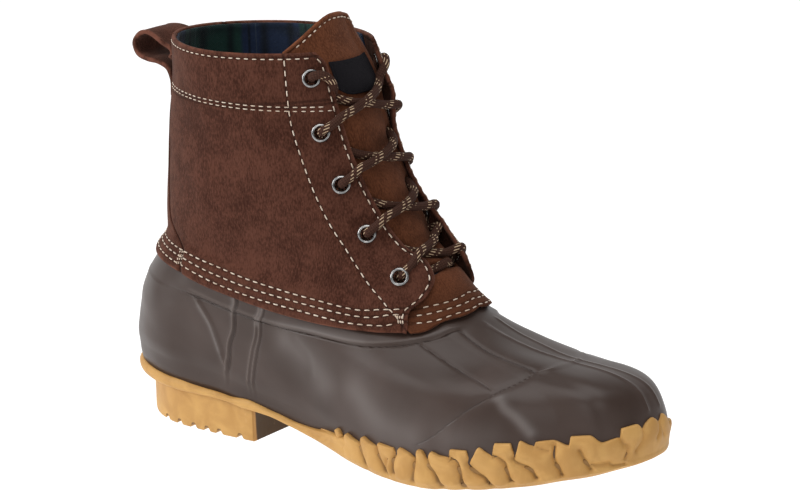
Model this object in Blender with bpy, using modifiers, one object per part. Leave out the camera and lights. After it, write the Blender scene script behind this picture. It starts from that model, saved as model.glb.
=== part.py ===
"""Insulated lace-up boot, right foot: a moulded rubber foot under a suede shaft.

+X points to the toe, +Y to the inner side of the foot and +Z up. The last has its own zero at the
heel; an empty carries every piece to the origin, on the floor under the middle of the boot's box.
Sizes are in millimetres until they become mesh coordinates.
"""
import math

import bmesh
import bpy
import numpy as np
from mathutils import Matrix, Vector

# Driving dimensions
MM = 0.001
LENGTH = 300.0
BALL_WIDTH = 96.0
HEEL_HEIGHT = 33.0
TOE_HEIGHT = 23.5
INSTEP_HEIGHT = 100.5
SHAFT_HEIGHT = 208.4
LAST_TO_ORIGIN = (-144.1, -1.0, 0.0)

# Walls and fits
GAP = 0.4
RUBBER_DEPTH = 0.5
RUBBER_WALL = 2.5
SUEDE_WALL = 2.4
RIM_WALL = 2.6
RIM_BULGE = 3.4
INSOLE_WALL = 4.0
INSOLE_CHAMFER = 0.8
LAP = 0.07

# Sections of the last from the feather line up to the collar, evenly spaced in t from 0 to 1.
# Lengths and end roundings are hundredths of LENGTH, half widths hundredths of BALL_WIDTH,
# heights and the toe's swing to the inner side millimetres. Dip is the share of the sole's curve.
SECTION_COLUMNS = (
    "name", "back_x", "back_z", "front_x", "front_z",
    "outer_heel", "outer_waist", "outer_ball", "outer_toe",
    "inner_heel", "inner_waist", "inner_ball", "inner_toe",
    "back_round", "front_round", "dip", "swing",
)
SECTIONS = (
    ("feather", -3.8, HEEL_HEIGHT, 99.2, TOE_HEIGHT,
     39.6, 37.5, 51.0, 44.8, 38.5, 34.4, 49.0, 44.8, 16.0, 24.7, 1.0, 9.0),
    ("bulge", -4.4, 49.1, 100.3, 34.4,
     43.8, 42.7, 54.2, 45.8, 42.7, 39.6, 52.1, 45.8, 16.0, 25.3, 0.85, 9.0),
    ("low", -3.8, 64.0, 97.5, 54.0,
     43.8, 43.8, 52.1, 41.7, 42.7, 41.7, 47.9, 41.7, 16.0, 28.7, 0.5, 7.5),
    ("mid", -2.5, 79.0, 82.8, 63.2,
     42.7, 43.8, 45.8, 37.5, 41.7, 42.7, 40.6, 33.3, 16.7, 32.7, 0.2, 6.0),
    ("high", 1.1, 92.8, 66.9, 78.9,
     41.1, 43.2, 40.6, 34.4, 40.1, 42.2, 38.0, 31.8, 16.7, 28.7, 0.0, 4.5),
    ("instep", 3.7, 104.5, 59.1, INSTEP_HEIGHT,
     38.0, 40.6, 38.5, 33.9, 37.0, 40.6, 38.0, 33.9, 16.7, 23.3, 0.0, 3.0),
    ("ankle", 4.4, 134.5, 52.4, 131.0,
     38.5, 42.7, 41.7, 37.5, 38.5, 42.7, 40.6, 37.5, 18.0, 21.3, 0.0, 1.5),
    ("calf", 5.8, 169.5, 47.0, 165.4,
     41.7, 44.8, 43.8, 41.7, 41.7, 44.8, 43.8, 41.7, 19.3, 20.0, 0.0, 0.0),
    ("collar", 6.7, SHAFT_HEIGHT, 42.7, 207.8,
     43.8, 46.9, 45.8, 43.8, 43.8, 46.9, 45.8, 43.8, 19.3, 19.3, 0.0, 0.0),
)
WIDTH_STATIONS = (0.10, 0.40, 0.68, 0.90)
WIDTH_NAMES = ("heel", "waist", "ball", "toe")
BACK_SQUARENESS = 2.0
FRONT_SQUARENESS = 2.2
SWING_START = 0.45

# Sole along the foot: share of the length, feather line height, underside height without the heel.
SOLE_COLUMNS = ("along", "feather", "under")
SOLE = (
    (0.00, HEEL_HEIGHT, 19.5),
    (0.22, 27.4, 18.9),
    (0.31, 21.7, 15.2),
    (0.42, 15.4, 8.0),
    (0.52, 11.3, 1.5),
    (0.60, 9.5, 0.0),
    (0.66, 9.7, 0.0),
    (0.80, 13.0, 7.5),
    (1.00, TOE_HEIGHT, 18.0),
)

# Seam lines around the boot: degrees from the heel, and t there.
SUEDE_EDGE = ((0, 0.490), (49, 0.475), (65, 0.445), (92, 0.427), (128, 0.446), (151, 0.485), (180, 0.509))
RIM_EDGE = ((0, 0.014), (80, 0.018), (106, 0.075), (130, 0.135), (180, 0.150))
RIM_RINGS = (0.33, 0.67, 1.0)
RIM_BULGE_SHARE = 0.45

# Side of the outsole below the rim: distance outside the feather line at the heel and in the forefoot,
# share of the way down to the underside, and lift from there.
SOLE_SIDE = ((1.8, 3.8, 0.4, 0.0), (-1.5, 1.0, 1.0, 1.6), (-3.5, -5.0, 1.0, 0.0))
FOREFOOT_BLEND = (0.30, 0.52)

# Front edge of an eyelet flap: t, and degrees from the heel.
FLAP_EDGE = (
    (0.446, 128), (0.50, 139), (0.55, 153), (0.60, 164.5), (0.635, 166.5), (0.67, 160.5),
    (0.72, 157), (0.80, 155.5), (0.92, 155.5), (0.98, 154.5), (1.0, 149),
)
FLAP_RISE = (108, 120)
TONGUE_HALF_ANGLE = 51.0
TONGUE_DIVE = (0.60, 0.68)
TONGUE_BASE_GAP = 0.3
FLAP_EASE = 1.1
TONGUE_PEAK = 0.054
TONGUE_TOP_POWER = 2.5
TONGUE_LEAN = 7.0
TONGUE_LEAN_T = (0.94, 1.04)

# Eyelets of one flap from the top: degrees from the heel, and t.
EYELETS = ((143.0, 0.963), (141.0, 0.883), (142.0, 0.793), (143.5, 0.700), (147.0, 0.605))
EYELET_HOLE_RADIUS = 3.4
EYELET_PROFILE = ((3.5, 1.3), (4.6, 0.7), (4.6, 0.0), (3.0, 0.0), (3.0, -2.3), (2.5, -2.3), (2.5, 0.9))
EYELET_STEPS = 12
EYELET_SPAN = (5.5, 0.019)
EYELET_HOLE_DEPTH = 12.0

# Lace
LACE_RADIUS = 2.2
LACE_POINTS = 9
LACE_CLEARANCE = 0.95
LACE_START = 5.6
LACE_EDGE_MARGIN = 5.0
LACE_BAR_T = 0.609
LACE_BAR_POINTS = 5
LACE_SAMPLES = 400
LACE_SMOOTHING = 12
LACE_OVER = (0.0, 1.3)
LACE_OVER_DEGREES = 12.0

# Heel block and tread
HEEL_INSET_BACK = 5.0
HEEL_INSET_BREAST = 0.5
HEEL_BREAST_ALONG = 0.315
HEEL_INSET_EASE = 0.8
HEEL_DRAFT = 1.0
HEEL_TOP = 20.3
HEEL_GROOVES = 6
HEEL_GROOVE_START = 8.0
HEEL_GROOVE_PITCH = 10.4
GROOVE_WIDTH = 4.0
GROOVE_DEPTH = 2.4
FOREFOOT_GROOVES = 8
FOREFOOT_GROOVE_START = 144.0
FOREFOOT_GROOVE_PITCH = 15.5
FOREFOOT_GROOVE_INSET = 14.0
FOREFOOT_GROOVE_DROP = 6.0

# Pull loop, middle of the strap from its upper end round to the lower: distance behind the shaft, height.
LOOP_PATH = (
    (1.8, 190.4), (2.0, 195.9), (4.5, 200.4), (10, 203.9), (17.5, 205.4), (24.5, 203.9), (27.8, 198.9), (25.5, 193.4),
    (19, 190.2), (11.5, 188.6), (5.5, 185.2), (2.4, 179.4), (1.8, 171.4),
)
LOOP_WIDTH = 23.0
LOOP_WALL = 2.2
LOOP_T = (0.8, 1.0)
LOOP_SIDE_DEGREES = 26.0
LOOP_FLAT = 0.75
LOOP_FLAT_BEHIND = (2.0, 14.0)

# Mesh density
AROUND = 50
RUBBER_ROWS = 8
RUBBER_ROW_CROWDING = 1.1
SUEDE_LEVELS = (0.60, 0.62, 0.64, 0.66, 0.68, 0.73, 0.79, 0.86, 0.93, 0.975)
LAP_ROWS = (0.0, 0.5, 1.0)
FLAP_COLUMNS = 8
TONGUE_COLUMNS = 14
LOOP_COLUMNS = 4
SHARP_ANGLE = 35.0
NUDGE_DEGREES = 0.05
NUDGE_T = 0.0005
NUDGE_COLLAR = 0.01
WELD = 1e-6

PARTS = "insulated_boot"
CUTTERS = "cutters"


def smooth_table(places, values, at):
    """Monotone cubic through a table. Each value is a number, or an array of the shape of at."""
    places = np.asarray(places, float)
    at = np.asarray(at, float)
    values = np.stack([np.broadcast_to(np.asarray(v, float), at.shape) for v in values])
    step = np.diff(places)
    slope = np.diff(values, axis=0) / step.reshape((-1,) + (1,) * at.ndim)
    product = slope[:-1] * slope[1:]
    total = slope[:-1] + slope[1:]
    tangent = np.empty_like(values)
    tangent[0] = slope[0]
    tangent[-1] = slope[-1]
    tangent[1:-1] = np.divide(2 * product, total, out=np.zeros_like(total), where=product > 0)
    i = np.clip(np.searchsorted(places, at) - 1, 0, len(places) - 2)
    low, high = (np.take_along_axis(values, k[None], 0)[0] for k in (i, i + 1))
    low_tangent, high_tangent = (np.take_along_axis(tangent, k[None], 0)[0] for k in (i, i + 1))
    q = (at - places[i]) / step[i]
    rise = (high - low) * q * q * (3 - 2 * q)
    bend = step[i] * (low_tangent * q * (1 - q) ** 2 - high_tangent * q * q * (1 - q))
    return low + rise + bend


def smooth_step(start, end, x):
    """0 before start, 1 after end, and an S curve between."""
    q = np.clip((np.asarray(x, float) - start) / (end - start), 0, 1)
    return q * q * (3 - 2 * q)


def section(column, t):
    """One column of the section table at height t."""
    k = SECTION_COLUMNS.index(column)
    return smooth_table(np.linspace(0, 1, len(SECTIONS)), [row[k] for row in SECTIONS], t)


def sole_height(column, along):
    """Feather line or underside height at a share of the length."""
    k = SOLE_COLUMNS.index(column)
    return smooth_table([row[0] for row in SOLE], [row[k] for row in SOLE], along)


def line_height(table, degrees):
    """A seam line's t at an angle from the heel, the same on both sides."""
    folded = 180 - np.abs(180 - np.mod(degrees, 360))
    return smooth_table([row[0] for row in table], [row[1] for row in table], folded)


def flap_edge(t):
    """Degrees from the heel of a flap's front edge at height t."""
    heights, angles = zip(*FLAP_EDGE)
    return smooth_table(heights, angles, np.clip(t, heights[0], heights[-1]))


def round_end(q, power):
    """Share of the full width near an end: 0 at the end, 1 from q = 1 on."""
    return (1 - (1 - np.clip(q, 0, 1)) ** power) ** (1 / power)


def last_point(degrees, t):
    """Point of the last: degrees run from the heel over the outer side to the toe at 180."""
    degrees, t = np.broadcast_arrays(np.asarray(degrees, float), np.asarray(t, float))
    theta = np.radians(degrees)
    low_t = np.minimum(t, 1.0)
    along = (1 - np.cos(theta)) / 2
    outer = np.sin(theta) >= 0
    back = section("back_x", low_t) * LENGTH / 100
    reach = section("front_x", low_t) * LENGTH / 100 - back
    station = np.clip(along, WIDTH_STATIONS[0], WIDTH_STATIONS[-1])
    width = {}
    for side in ("outer", "inner"):
        columns = [section(f"{side}_{name}", low_t) for name in WIDTH_NAMES]
        width[side] = smooth_table(WIDTH_STATIONS, columns, station)
    half = np.where(outer, -width["outer"], width["inner"]) * BALL_WIDTH / 100
    back_radius = section("back_round", low_t) * LENGTH / 100
    front_radius = section("front_round", low_t) * LENGTH / 100
    half = half * round_end(along * reach / back_radius, BACK_SQUARENESS)
    half = half * round_end((1 - along) * reach / front_radius, FRONT_SQUARENESS)
    swing = section("swing", low_t) * np.clip((along - SWING_START) / (1 - SWING_START), 0, 1) ** 2
    level = section("back_z", low_t) * (1 - along) + section("front_z", low_t) * along
    sag = sole_height("feather", along) - (HEEL_HEIGHT * (1 - along) + TOE_HEIGHT * along)
    point = np.stack([back + reach * along, swing + half, level + section("dip", low_t) * sag], -1)
    above = (t - low_t)[..., None]
    if np.any(above > 0):
        lean = last_point(degrees, 1.0) - last_point(degrees, 1.0 - NUDGE_COLLAR)
        point = point + above * lean / NUDGE_COLLAR
    return point


def normal_of(surface, degrees, t):
    """Outward unit normal of a surface given as a function of degrees and t."""
    across = surface(degrees + NUDGE_DEGREES, t) - surface(degrees - NUDGE_DEGREES, t)
    upward = surface(degrees, t + NUDGE_T) - surface(degrees, t - NUDGE_T)
    normal = np.cross(across, upward)
    return normal / np.linalg.norm(normal, axis=-1, keepdims=True)


def offset_point(degrees, t, distance):
    """Point at a distance outside the last."""
    return last_point(degrees, t) + normal_of(last_point, degrees, t) * np.asarray(distance)[..., None]


def tongue_inside(t):
    """Distance of the tongue's inner face from the last: over the rubber below, inside the flaps above."""
    dive = (SUEDE_WALL + GAP + TONGUE_BASE_GAP) * smooth_step(*TONGUE_DIVE, t)
    return TONGUE_BASE_GAP - dive


def flap_lift(degrees, t):
    """How far a flap stands off the last where it laps over the tongue's base."""
    folded = 180 - np.abs(180 - np.mod(degrees, 360))
    return FLAP_EASE * (tongue_inside(t) + SUEDE_WALL + GAP) * smooth_step(*FLAP_RISE, folded)


def shaft_face(degrees, t):
    """Point of the shaft's outer face."""
    return offset_point(degrees, t, flap_lift(degrees, t) + SUEDE_WALL)


def feather_outline(degrees, out):
    """Plan points of the feather line moved outwards."""
    point = last_point(degrees, 0.0)
    along = last_point(degrees + NUDGE_DEGREES, 0.0) - last_point(degrees - NUDGE_DEGREES, 0.0)
    plan = np.stack([along[..., 1], -along[..., 0]], -1)
    plan /= np.linalg.norm(plan, axis=-1, keepdims=True)
    return point[..., :2] + plan * np.asarray(out)[..., None]


def make_material(name, colour, roughness, metallic=0.0):
    """A Principled material of one colour."""
    material = bpy.data.materials.new(name)
    material.use_nodes = True
    shader = material.node_tree.nodes["Principled BSDF"]
    shader.inputs["Base Color"].default_value = (*colour, 1.0)
    shader.inputs["Roughness"].default_value = roughness
    shader.inputs["Metallic"].default_value = metallic
    return material


def add_object(name, mesh, material, collection=PARTS):
    """Put a mesh in its collection, smooth, under the boot's empty."""
    piece = bpy.data.objects.new(name, mesh)
    bpy.data.collections[collection].objects.link(piece)
    piece.parent = bpy.data.objects["boot_origin"]
    if material is not None:
        mesh.materials.append(material)
        mesh.shade_smooth()
        mesh.set_sharp_from_angle(angle=math.radians(SHARP_ANGLE))
    return piece


def add_cutter(name, mesh):
    """A cutter shows as wire and isn't rendered."""
    cutter = add_object(name, mesh, None, CUTTERS)
    cutter.hide_render = True
    cutter.display_type = "WIRE"
    return cutter


def cut_or_join(piece, tool, operation):
    """Boolean of a piece with another object."""
    boolean = piece.modifiers.new(tool.name, "BOOLEAN")
    boolean.object = tool
    boolean.operation = operation
    boolean.solver = "EXACT"


def mesh_from(bm, name):
    """Write a bmesh into a new mesh."""
    mesh = bpy.data.meshes.new(name)
    bm.to_mesh(mesh)
    bm.free()
    return mesh


def add_shell(name, columns, rows, surface, wall, material, closed=False, side=-1.0):
    """A grid on surface(u, v), thickened inwards, or to both sides at side 0. Closed welds its edges."""
    bm = bmesh.new()
    bmesh.ops.create_grid(bm, x_segments=columns, y_segments=rows, size=0.5)
    uv = np.array([vert.co[:2] for vert in bm.verts])
    uv = (uv - uv.min(axis=0)) / np.ptp(uv, axis=0)
    for vert, place in zip(bm.verts, surface(uv[:, 0], uv[:, 1]) * MM):
        vert.co = place
    if closed:
        bmesh.ops.remove_doubles(bm, verts=bm.verts, dist=WELD)
    shell = add_object(name, mesh_from(bm, name), material)
    solidify = shell.modifiers.new("wall", "SOLIDIFY")
    solidify.thickness = wall * MM
    solidify.offset = side
    return shell


def add_loft(name, rings, material):
    """A closed solid through rings of points, each end closed by rungs from side to side."""
    bm = bmesh.new()
    loops = [[bm.verts.new(place) for place in ring * MM] for ring in rings]
    count = len(loops[0])
    half = count // 2
    for lower, upper in zip(loops, loops[1:]):
        for k in range(count):
            m = (k + 1) % count
            bm.faces.new((lower[k], lower[m], upper[m], upper[k]))
    for loop in (loops[0], loops[-1]):
        bm.faces.new((loop[0], loop[1], loop[count - 1]))
        bm.faces.new((loop[half], loop[half + 1], loop[half - 1]))
        for k in range(1, half - 1):
            bm.faces.new((loop[k], loop[k + 1], loop[count - k - 1], loop[count - k]))
    bmesh.ops.recalc_face_normals(bm, faces=bm.faces)
    return add_object(name, mesh_from(bm, name), material)


def box_mesh(name, boxes):
    """One mesh of boxes, each given by its lowest and highest corner."""
    bm = bmesh.new()
    for low, high in boxes:
        low, high = Vector(low) * MM, Vector(high) * MM
        size = Matrix.Diagonal((*(high - low), 1.0))
        bmesh.ops.create_cube(bm, size=1.0, matrix=Matrix.Translation((low + high) / 2) @ size)
    return mesh_from(bm, name)


def tube_mesh(name, points, radius):
    """A round cord along points as a closed mesh."""
    curve = bpy.data.curves.new(name, "CURVE")
    curve.dimensions = "3D"
    curve.bevel_depth = radius * MM
    curve.bevel_resolution = 2
    curve.use_fill_caps = True
    spline = curve.splines.new("POLY")
    spline.points.add(len(points) - 1)
    for place, point in zip(spline.points, points * MM):
        place.co = (*point, 1.0)
    holder = bpy.data.objects.new(name, curve)
    bpy.data.collections[CUTTERS].objects.link(holder)
    bpy.context.view_layer.update()
    mesh = bpy.data.meshes.new_from_object(holder.evaluated_get(bpy.context.evaluated_depsgraph_get()))
    bpy.data.objects.remove(holder)
    bpy.data.curves.remove(curve)
    bm = bmesh.new()
    bm.from_mesh(mesh)
    bmesh.ops.remove_doubles(bm, verts=bm.verts, dist=WELD)
    bm.to_mesh(mesh)
    bm.free()
    return mesh


def row_heights(levels, v):
    """The height of each grid point, from its row's level; a level is a number or an array like v."""
    table = np.stack([np.broadcast_to(level, v.shape) for level in levels])
    row = np.rint(v * (len(levels) - 1)).astype(int)
    return np.take_along_axis(table, row[None], 0)[0]


def suede_levels(bottom, top):
    """Row levels of a suede piece. Layers share them, so that their facets lie flat on each other."""
    lap = [bottom + LAP * share for share in LAP_ROWS]
    return [*lap, (lap[-1] + SUEDE_LEVELS[0]) / 2, *SUEDE_LEVELS, top]


def add_rubber_lower(material):
    """Rubber foot: a hollow wall from the feather line to a margin tucked under the suede."""
    shares = (np.arange(RUBBER_ROWS) / RUBBER_ROWS) ** RUBBER_ROW_CROWDING

    def surface(u, v):
        degrees = 360 * u
        edge = line_height(SUEDE_EDGE, degrees)
        levels = [edge * share for share in shares] + [edge + LAP * share for share in LAP_ROWS]
        return offset_point(degrees, row_heights(levels, v), np.full_like(u, -RUBBER_DEPTH))
    rows = RUBBER_ROWS + len(LAP_ROWS) - 1
    return add_shell("rubber_lower", AROUND, rows, surface, RUBBER_WALL, material, closed=True)


def add_shaft(material):
    """Suede shaft: from one flap's edge round the heel to the other, open at collar and throat."""
    step = 360 / AROUND
    plain = round(FLAP_RISE[0] / step)
    columns = 2 * (plain + FLAP_COLUMNS)

    def surface(u, v):
        place = np.abs(2 * u - 1) * (plain + FLAP_COLUMNS)
        corner_t, corner = FLAP_EDGE[0]
        edge = flap_edge(row_heights(suede_levels(corner_t, 1.0), v))
        flap = FLAP_RISE[0] + (edge - FLAP_RISE[0]) * (place - plain) / FLAP_COLUMNS
        degrees = np.sign(u - 0.5) * np.where(place <= plain, place * step, flap)
        bottom = line_height(SUEDE_EDGE, np.minimum(np.abs(degrees), corner))
        return shaft_face(degrees, row_heights(suede_levels(bottom, 1.0), v))
    rows = len(suede_levels(0, 1)) - 1
    return add_shell("shaft", columns, rows, surface, SUEDE_WALL, material)


def add_tongue(material):
    """Tongue: over the rubber at its base, under the flaps, and up to a peak above the collar."""
    def surface(u, v):
        side = 2 * u - 1
        degrees = 180 + side * TONGUE_HALF_ANGLE
        bottom = line_height(SUEDE_EDGE, degrees)
        top = 1 + TONGUE_PEAK * (1 - np.abs(side) ** TONGUE_TOP_POWER)
        t = row_heights(suede_levels(bottom, top), v)
        lean = TONGUE_LEAN * smooth_step(*TONGUE_LEAN_T, t)
        return offset_point(degrees, t, tongue_inside(t) + SUEDE_WALL - lean)
    rows = len(suede_levels(0, 1)) - 1
    return add_shell("tongue", TONGUE_COLUMNS, rows, surface, SUEDE_WALL, material)


def add_outsole(material):
    """Outsole: a tray with a wrapped rim and toe spring, a heel block, and grooves in the tread."""
    degrees = np.arange(AROUND) * 360 / AROUND
    along = (1 - np.cos(np.radians(degrees))) / 2
    feather = sole_height("feather", along)
    under = sole_height("under", along)
    fore = smooth_step(*FOREFOOT_BLEND, along)
    rim = line_height(RIM_EDGE, degrees)

    def ring(out, height):
        return np.column_stack([feather_outline(degrees, out), height])
    rings = [ring(np.zeros(AROUND), feather - GAP)]
    for share in RIM_RINGS:
        rings.append(offset_point(degrees, rim * share, np.zeros(AROUND)))
    rings.append(offset_point(degrees, rim, np.full(AROUND, RIM_WALL)))
    rings.append(offset_point(degrees, rim * RIM_BULGE_SHARE, np.full(AROUND, RIM_BULGE)))
    for out_heel, out_fore, down, lift in SOLE_SIDE:
        out = out_heel + (out_fore - out_heel) * fore
        rings.append(ring(out, feather - down * (feather - under) + lift))
    outsole = add_loft("outsole", rings, material)

    corner = np.degrees(np.arccos(1 - 2 * HEEL_BREAST_ALONG))
    heel = np.unique(np.concatenate([degrees[along < HEEL_BREAST_ALONG], [corner, 360 - corner]]))
    forward = smooth_step(0, HEEL_BREAST_ALONG * HEEL_INSET_EASE, (1 - np.cos(np.radians(heel))) / 2)
    inset = HEEL_INSET_BACK + (HEEL_INSET_BREAST - HEEL_INSET_BACK) * forward
    bm = bmesh.new()
    loops = []
    for draft, height in ((HEEL_DRAFT, 0.0), (0.0, HEEL_TOP)):
        plan = feather_outline(heel, -inset - draft)
        loops.append([bm.verts.new((x * MM, y * MM, height * MM)) for x, y in plan])
    bm.faces.new(loops[0])
    bm.faces.new(loops[1])
    for k in range(len(heel)):
        m = (k + 1) % len(heel)
        bm.faces.new((loops[0][k], loops[0][m], loops[1][m], loops[1][k]))
    bmesh.ops.recalc_face_normals(bm, faces=bm.faces)
    cut_or_join(outsole, add_cutter("heel_block", mesh_from(bm, "heel_block")), "UNION")

    grooves = []
    for k in range(HEEL_GROOVES):
        x = HEEL_GROOVE_START + k * HEEL_GROOVE_PITCH
        grooves.append(((x, -BALL_WIDTH, -GROOVE_DEPTH), (x + GROOVE_WIDTH, BALL_WIDTH, GROOVE_DEPTH)))
    back, front = (float(section(column, 0.0)) * LENGTH / 100 for column in ("back_x", "front_x"))
    for k in range(FOREFOOT_GROOVES):
        x = FOREFOOT_GROOVE_START + k * FOREFOOT_GROOVE_PITCH
        share = (x - back) / (front - back)
        angle = np.degrees(np.arccos(1 - 2 * share))
        sides = feather_outline(np.array([angle, -angle]), np.full(2, -FOREFOOT_GROOVE_INSET))[:, 1]
        floor = float(sole_height("under", share))
        low = (x, sides[0], floor - FOREFOOT_GROOVE_DROP)
        grooves.append((low, (x + GROOVE_WIDTH, sides[1], floor + GROOVE_DEPTH)))
    cut_or_join(outsole, add_cutter("tread_grooves", box_mesh("tread_grooves", grooves)), "DIFFERENCE")
    return outsole


def add_insole(material):
    """Footbed on the outsole's floor, inside the rubber wall."""
    degrees = np.arange(AROUND) * 360 / AROUND
    feather = last_point(degrees, 0.0)[:, 2]
    out = np.full(AROUND, -(RUBBER_DEPTH + RUBBER_WALL + 2 * GAP))
    rings = [
        np.column_stack([feather_outline(degrees, out), feather]),
        np.column_stack([feather_outline(degrees, out), feather + INSOLE_WALL - INSOLE_CHAMFER]),
        np.column_stack([feather_outline(degrees, out - INSOLE_CHAMFER), feather + INSOLE_WALL]),
    ]
    return add_loft("insole", rings, material)


def add_pull_loop(material):
    """Strap folded into a loop at the back of the collar, both ends flat on the shaft."""
    path = np.array(LOOP_PATH, float)
    run = np.concatenate([[0], np.cumsum(np.hypot(*np.diff(path, axis=0).T))])
    run /= run[-1]
    back_t = np.linspace(*LOOP_T, AROUND)
    back_z = last_point(np.zeros(AROUND), back_t)[:, 2]

    def surface(u, v):
        behind = smooth_table(run, path[:, 0], v)
        height = smooth_table(run, path[:, 1], v)
        across = (u - 0.5) * LOOP_WIDTH
        t = np.interp(height, back_z, back_t)
        edge = offset_point(np.zeros_like(t), t, np.full_like(t, SUEDE_WALL))
        side = offset_point(np.full_like(t, LOOP_SIDE_DEGREES), t, np.full_like(t, SUEDE_WALL))
        bow = (side[:, 0] - edge[:, 0]) * (across / side[:, 1]) ** 2
        flatten = 1 - LOOP_FLAT * smooth_step(*LOOP_FLAT_BEHIND, behind)
        return np.stack([edge[:, 0] + bow * flatten - behind, -across, height], -1)
    rows = 2 * len(LOOP_PATH)
    return add_shell("pull_loop", LOOP_COLUMNS, rows, surface, LOOP_WALL, material, side=0.0)


def add_eyelets(shaft, material):
    """Turned rings in the flaps' holes, seated just clear of the suede; the holes are cut too."""
    mesh = bpy.data.meshes.new("eyelet")
    count = len(EYELET_PROFILE)
    profile = [(radius * MM, 0, height * MM) for radius, height in EYELET_PROFILE]
    mesh.from_pydata(profile, [(k, (k + 1) % count) for k in range(count)], [])
    holes = bmesh.new()
    turn = np.radians(np.arange(EYELET_STEPS) * 360 / EYELET_STEPS)
    span, span_t = EYELET_SPAN
    for side, sign in (("outer", 1), ("inner", -1)):
        for number, (degrees, t) in enumerate(EYELETS, start=1):
            angle = np.array([180 + sign * (degrees - 180)])
            height = np.array([t])
            centre = shaft_face(angle, height)[0]
            axis = Vector(normal_of(shaft_face, angle, height)[0])
            frame = axis.to_track_quat("Z", "Y").to_matrix().to_4x4()
            rim = shaft_face(angle + span * np.cos(turn), height + span_t * np.sin(turn))
            seat = max(0.0, float(((rim - centre) @ np.array(axis)).max())) + GAP
            place = Matrix.Translation(Vector(centre) * MM) @ frame
            eyelet = add_object(f"eyelet_{side}_{number}", mesh.copy(), material)
            eyelet.matrix_local = place @ Matrix.Translation((0, 0, seat * MM))
            screw = eyelet.modifiers.new("turn", "SCREW")
            screw.steps = EYELET_STEPS
            screw.render_steps = EYELET_STEPS
            screw.use_merge_vertices = True
            screw.merge_threshold = WELD
            radius = EYELET_HOLE_RADIUS * MM
            bmesh.ops.create_cone(
                holes, cap_ends=True, segments=EYELET_STEPS, radius1=radius, radius2=radius,
                depth=EYELET_HOLE_DEPTH * MM, matrix=place)
    bpy.data.meshes.remove(mesh)
    cut_or_join(shaft, add_cutter("eyelet_holes", mesh_from(holes, "eyelet_holes")), "DIFFERENCE")


def cover_height(degrees, t):
    """Height over the last of what a lace lies on: the flap, or the tongue between the flaps."""
    folded = 180 - np.abs(180 - np.mod(degrees, 360))
    flap = flap_lift(degrees, t) + SUEDE_WALL
    return np.where(folded <= flap_edge(t) + LACE_EDGE_MARGIN, flap, tongue_inside(t) + SUEDE_WALL)


def lace_run(start, end, over):
    """Points of one lace from an eyelet, over its flap's edge, to just short of the other flap."""
    share = np.linspace(0, 1, LACE_SAMPLES)
    degrees = start[0] + (end[0] - start[0]) * share
    t = start[1] + (end[1] - start[1]) * share
    flat = last_point(degrees, t)
    travelled = np.concatenate([[0], np.cumsum(np.linalg.norm(np.diff(flat, axis=0), axis=1))])
    toward_inner = end[0] > start[0]
    past = (degrees - 180) if toward_inner else (180 - degrees)
    keep = (travelled >= LACE_START) & (past <= 180 - flap_edge(t) - LACE_EDGE_MARGIN)
    degrees, t = degrees[keep], t[keep]
    pick = np.linspace(0, len(t) - 1, LACE_POINTS).round().astype(int)
    own_half = (degrees < 180) if toward_inner else (degrees > 180)
    height = np.where(own_half, cover_height(degrees, t), tongue_inside(t) + SUEDE_WALL)
    window = np.ones(2 * LACE_SMOOTHING + 1) / (2 * LACE_SMOOTHING + 1)
    height = np.convolve(np.pad(height, LACE_SMOOTHING, mode="edge"), window, mode="valid")
    height = height + over * np.exp(-((degrees - 180) / LACE_OVER_DEGREES) ** 2)
    points = offset_point(degrees, t, height + LACE_CLEARANCE + LACE_RADIUS)
    return points[pick]


def add_laces(material):
    """Four crossings of two joined runs, and the bar between the lowest eyelets."""
    for number in range(len(EYELETS) - 1, 0, -1):
        low, high = EYELETS[number], EYELETS[number - 1]
        name = f"lace_cross_{len(EYELETS) - number}"
        runs = []
        for sign, over in zip((1, -1), LACE_OVER):
            start = (180 + sign * (low[0] - 180), low[1])
            end = (180 - sign * (high[0] - 180), high[1])
            runs.append(tube_mesh(f"{name}_{len(runs)}", lace_run(start, end, over), LACE_RADIUS))
        cross = add_object(name, runs[0], material)
        cut_or_join(cross, add_cutter(f"{name}_under", runs[1]), "UNION")
    reach = 180 - float(flap_edge(np.array(LACE_BAR_T))) - LACE_EDGE_MARGIN
    degrees = np.linspace(180 - reach, 180 + reach, LACE_BAR_POINTS)
    t = np.full(LACE_BAR_POINTS, LACE_BAR_T)
    height = tongue_inside(t) + SUEDE_WALL + LACE_CLEARANCE + LACE_RADIUS
    bar = tube_mesh("lace_bar", offset_point(degrees, t, height), LACE_RADIUS)
    add_object("lace_bar", bar, material)


def main():
    for old in list(bpy.data.objects):
        bpy.data.objects.remove(old)
    for name in (PARTS, CUTTERS):
        bpy.context.scene.collection.children.link(bpy.data.collections.new(name))
    origin = bpy.data.objects.new("boot_origin", None)
    origin.location = Vector(LAST_TO_ORIGIN) * MM
    bpy.data.collections[PARTS].objects.link(origin)

    suede = make_material("suede", (0.115, 0.050, 0.033), 0.85)
    add_outsole(make_material("tan_rubber", (0.62, 0.36, 0.13), 0.55))
    add_rubber_lower(make_material("dark_rubber", (0.095, 0.075, 0.066), 0.42))
    shaft = add_shaft(suede)
    add_tongue(suede)
    add_insole(make_material("felt", (0.06, 0.065, 0.07), 0.95))
    add_pull_loop(suede)
    add_eyelets(shaft, make_material("steel", (0.62, 0.61, 0.59), 0.3, 1.0))
    add_laces(make_material("cord", (0.09, 0.050, 0.036), 0.8))


main()
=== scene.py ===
# %% [markdown]
# # An insulated boot, right foot
# The packed solids are the frame: a rubber foot, a suede shaft, a tongue, an outsole and small
# hardware. This lesson dresses them. Every surface is worked out again, densely, from the shape of
# the last, so that seams, ribs and laces can be laid on it in millimetres.

# %% Load the frame
import math

import bpy
import numpy as np
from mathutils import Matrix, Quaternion, Vector


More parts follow.
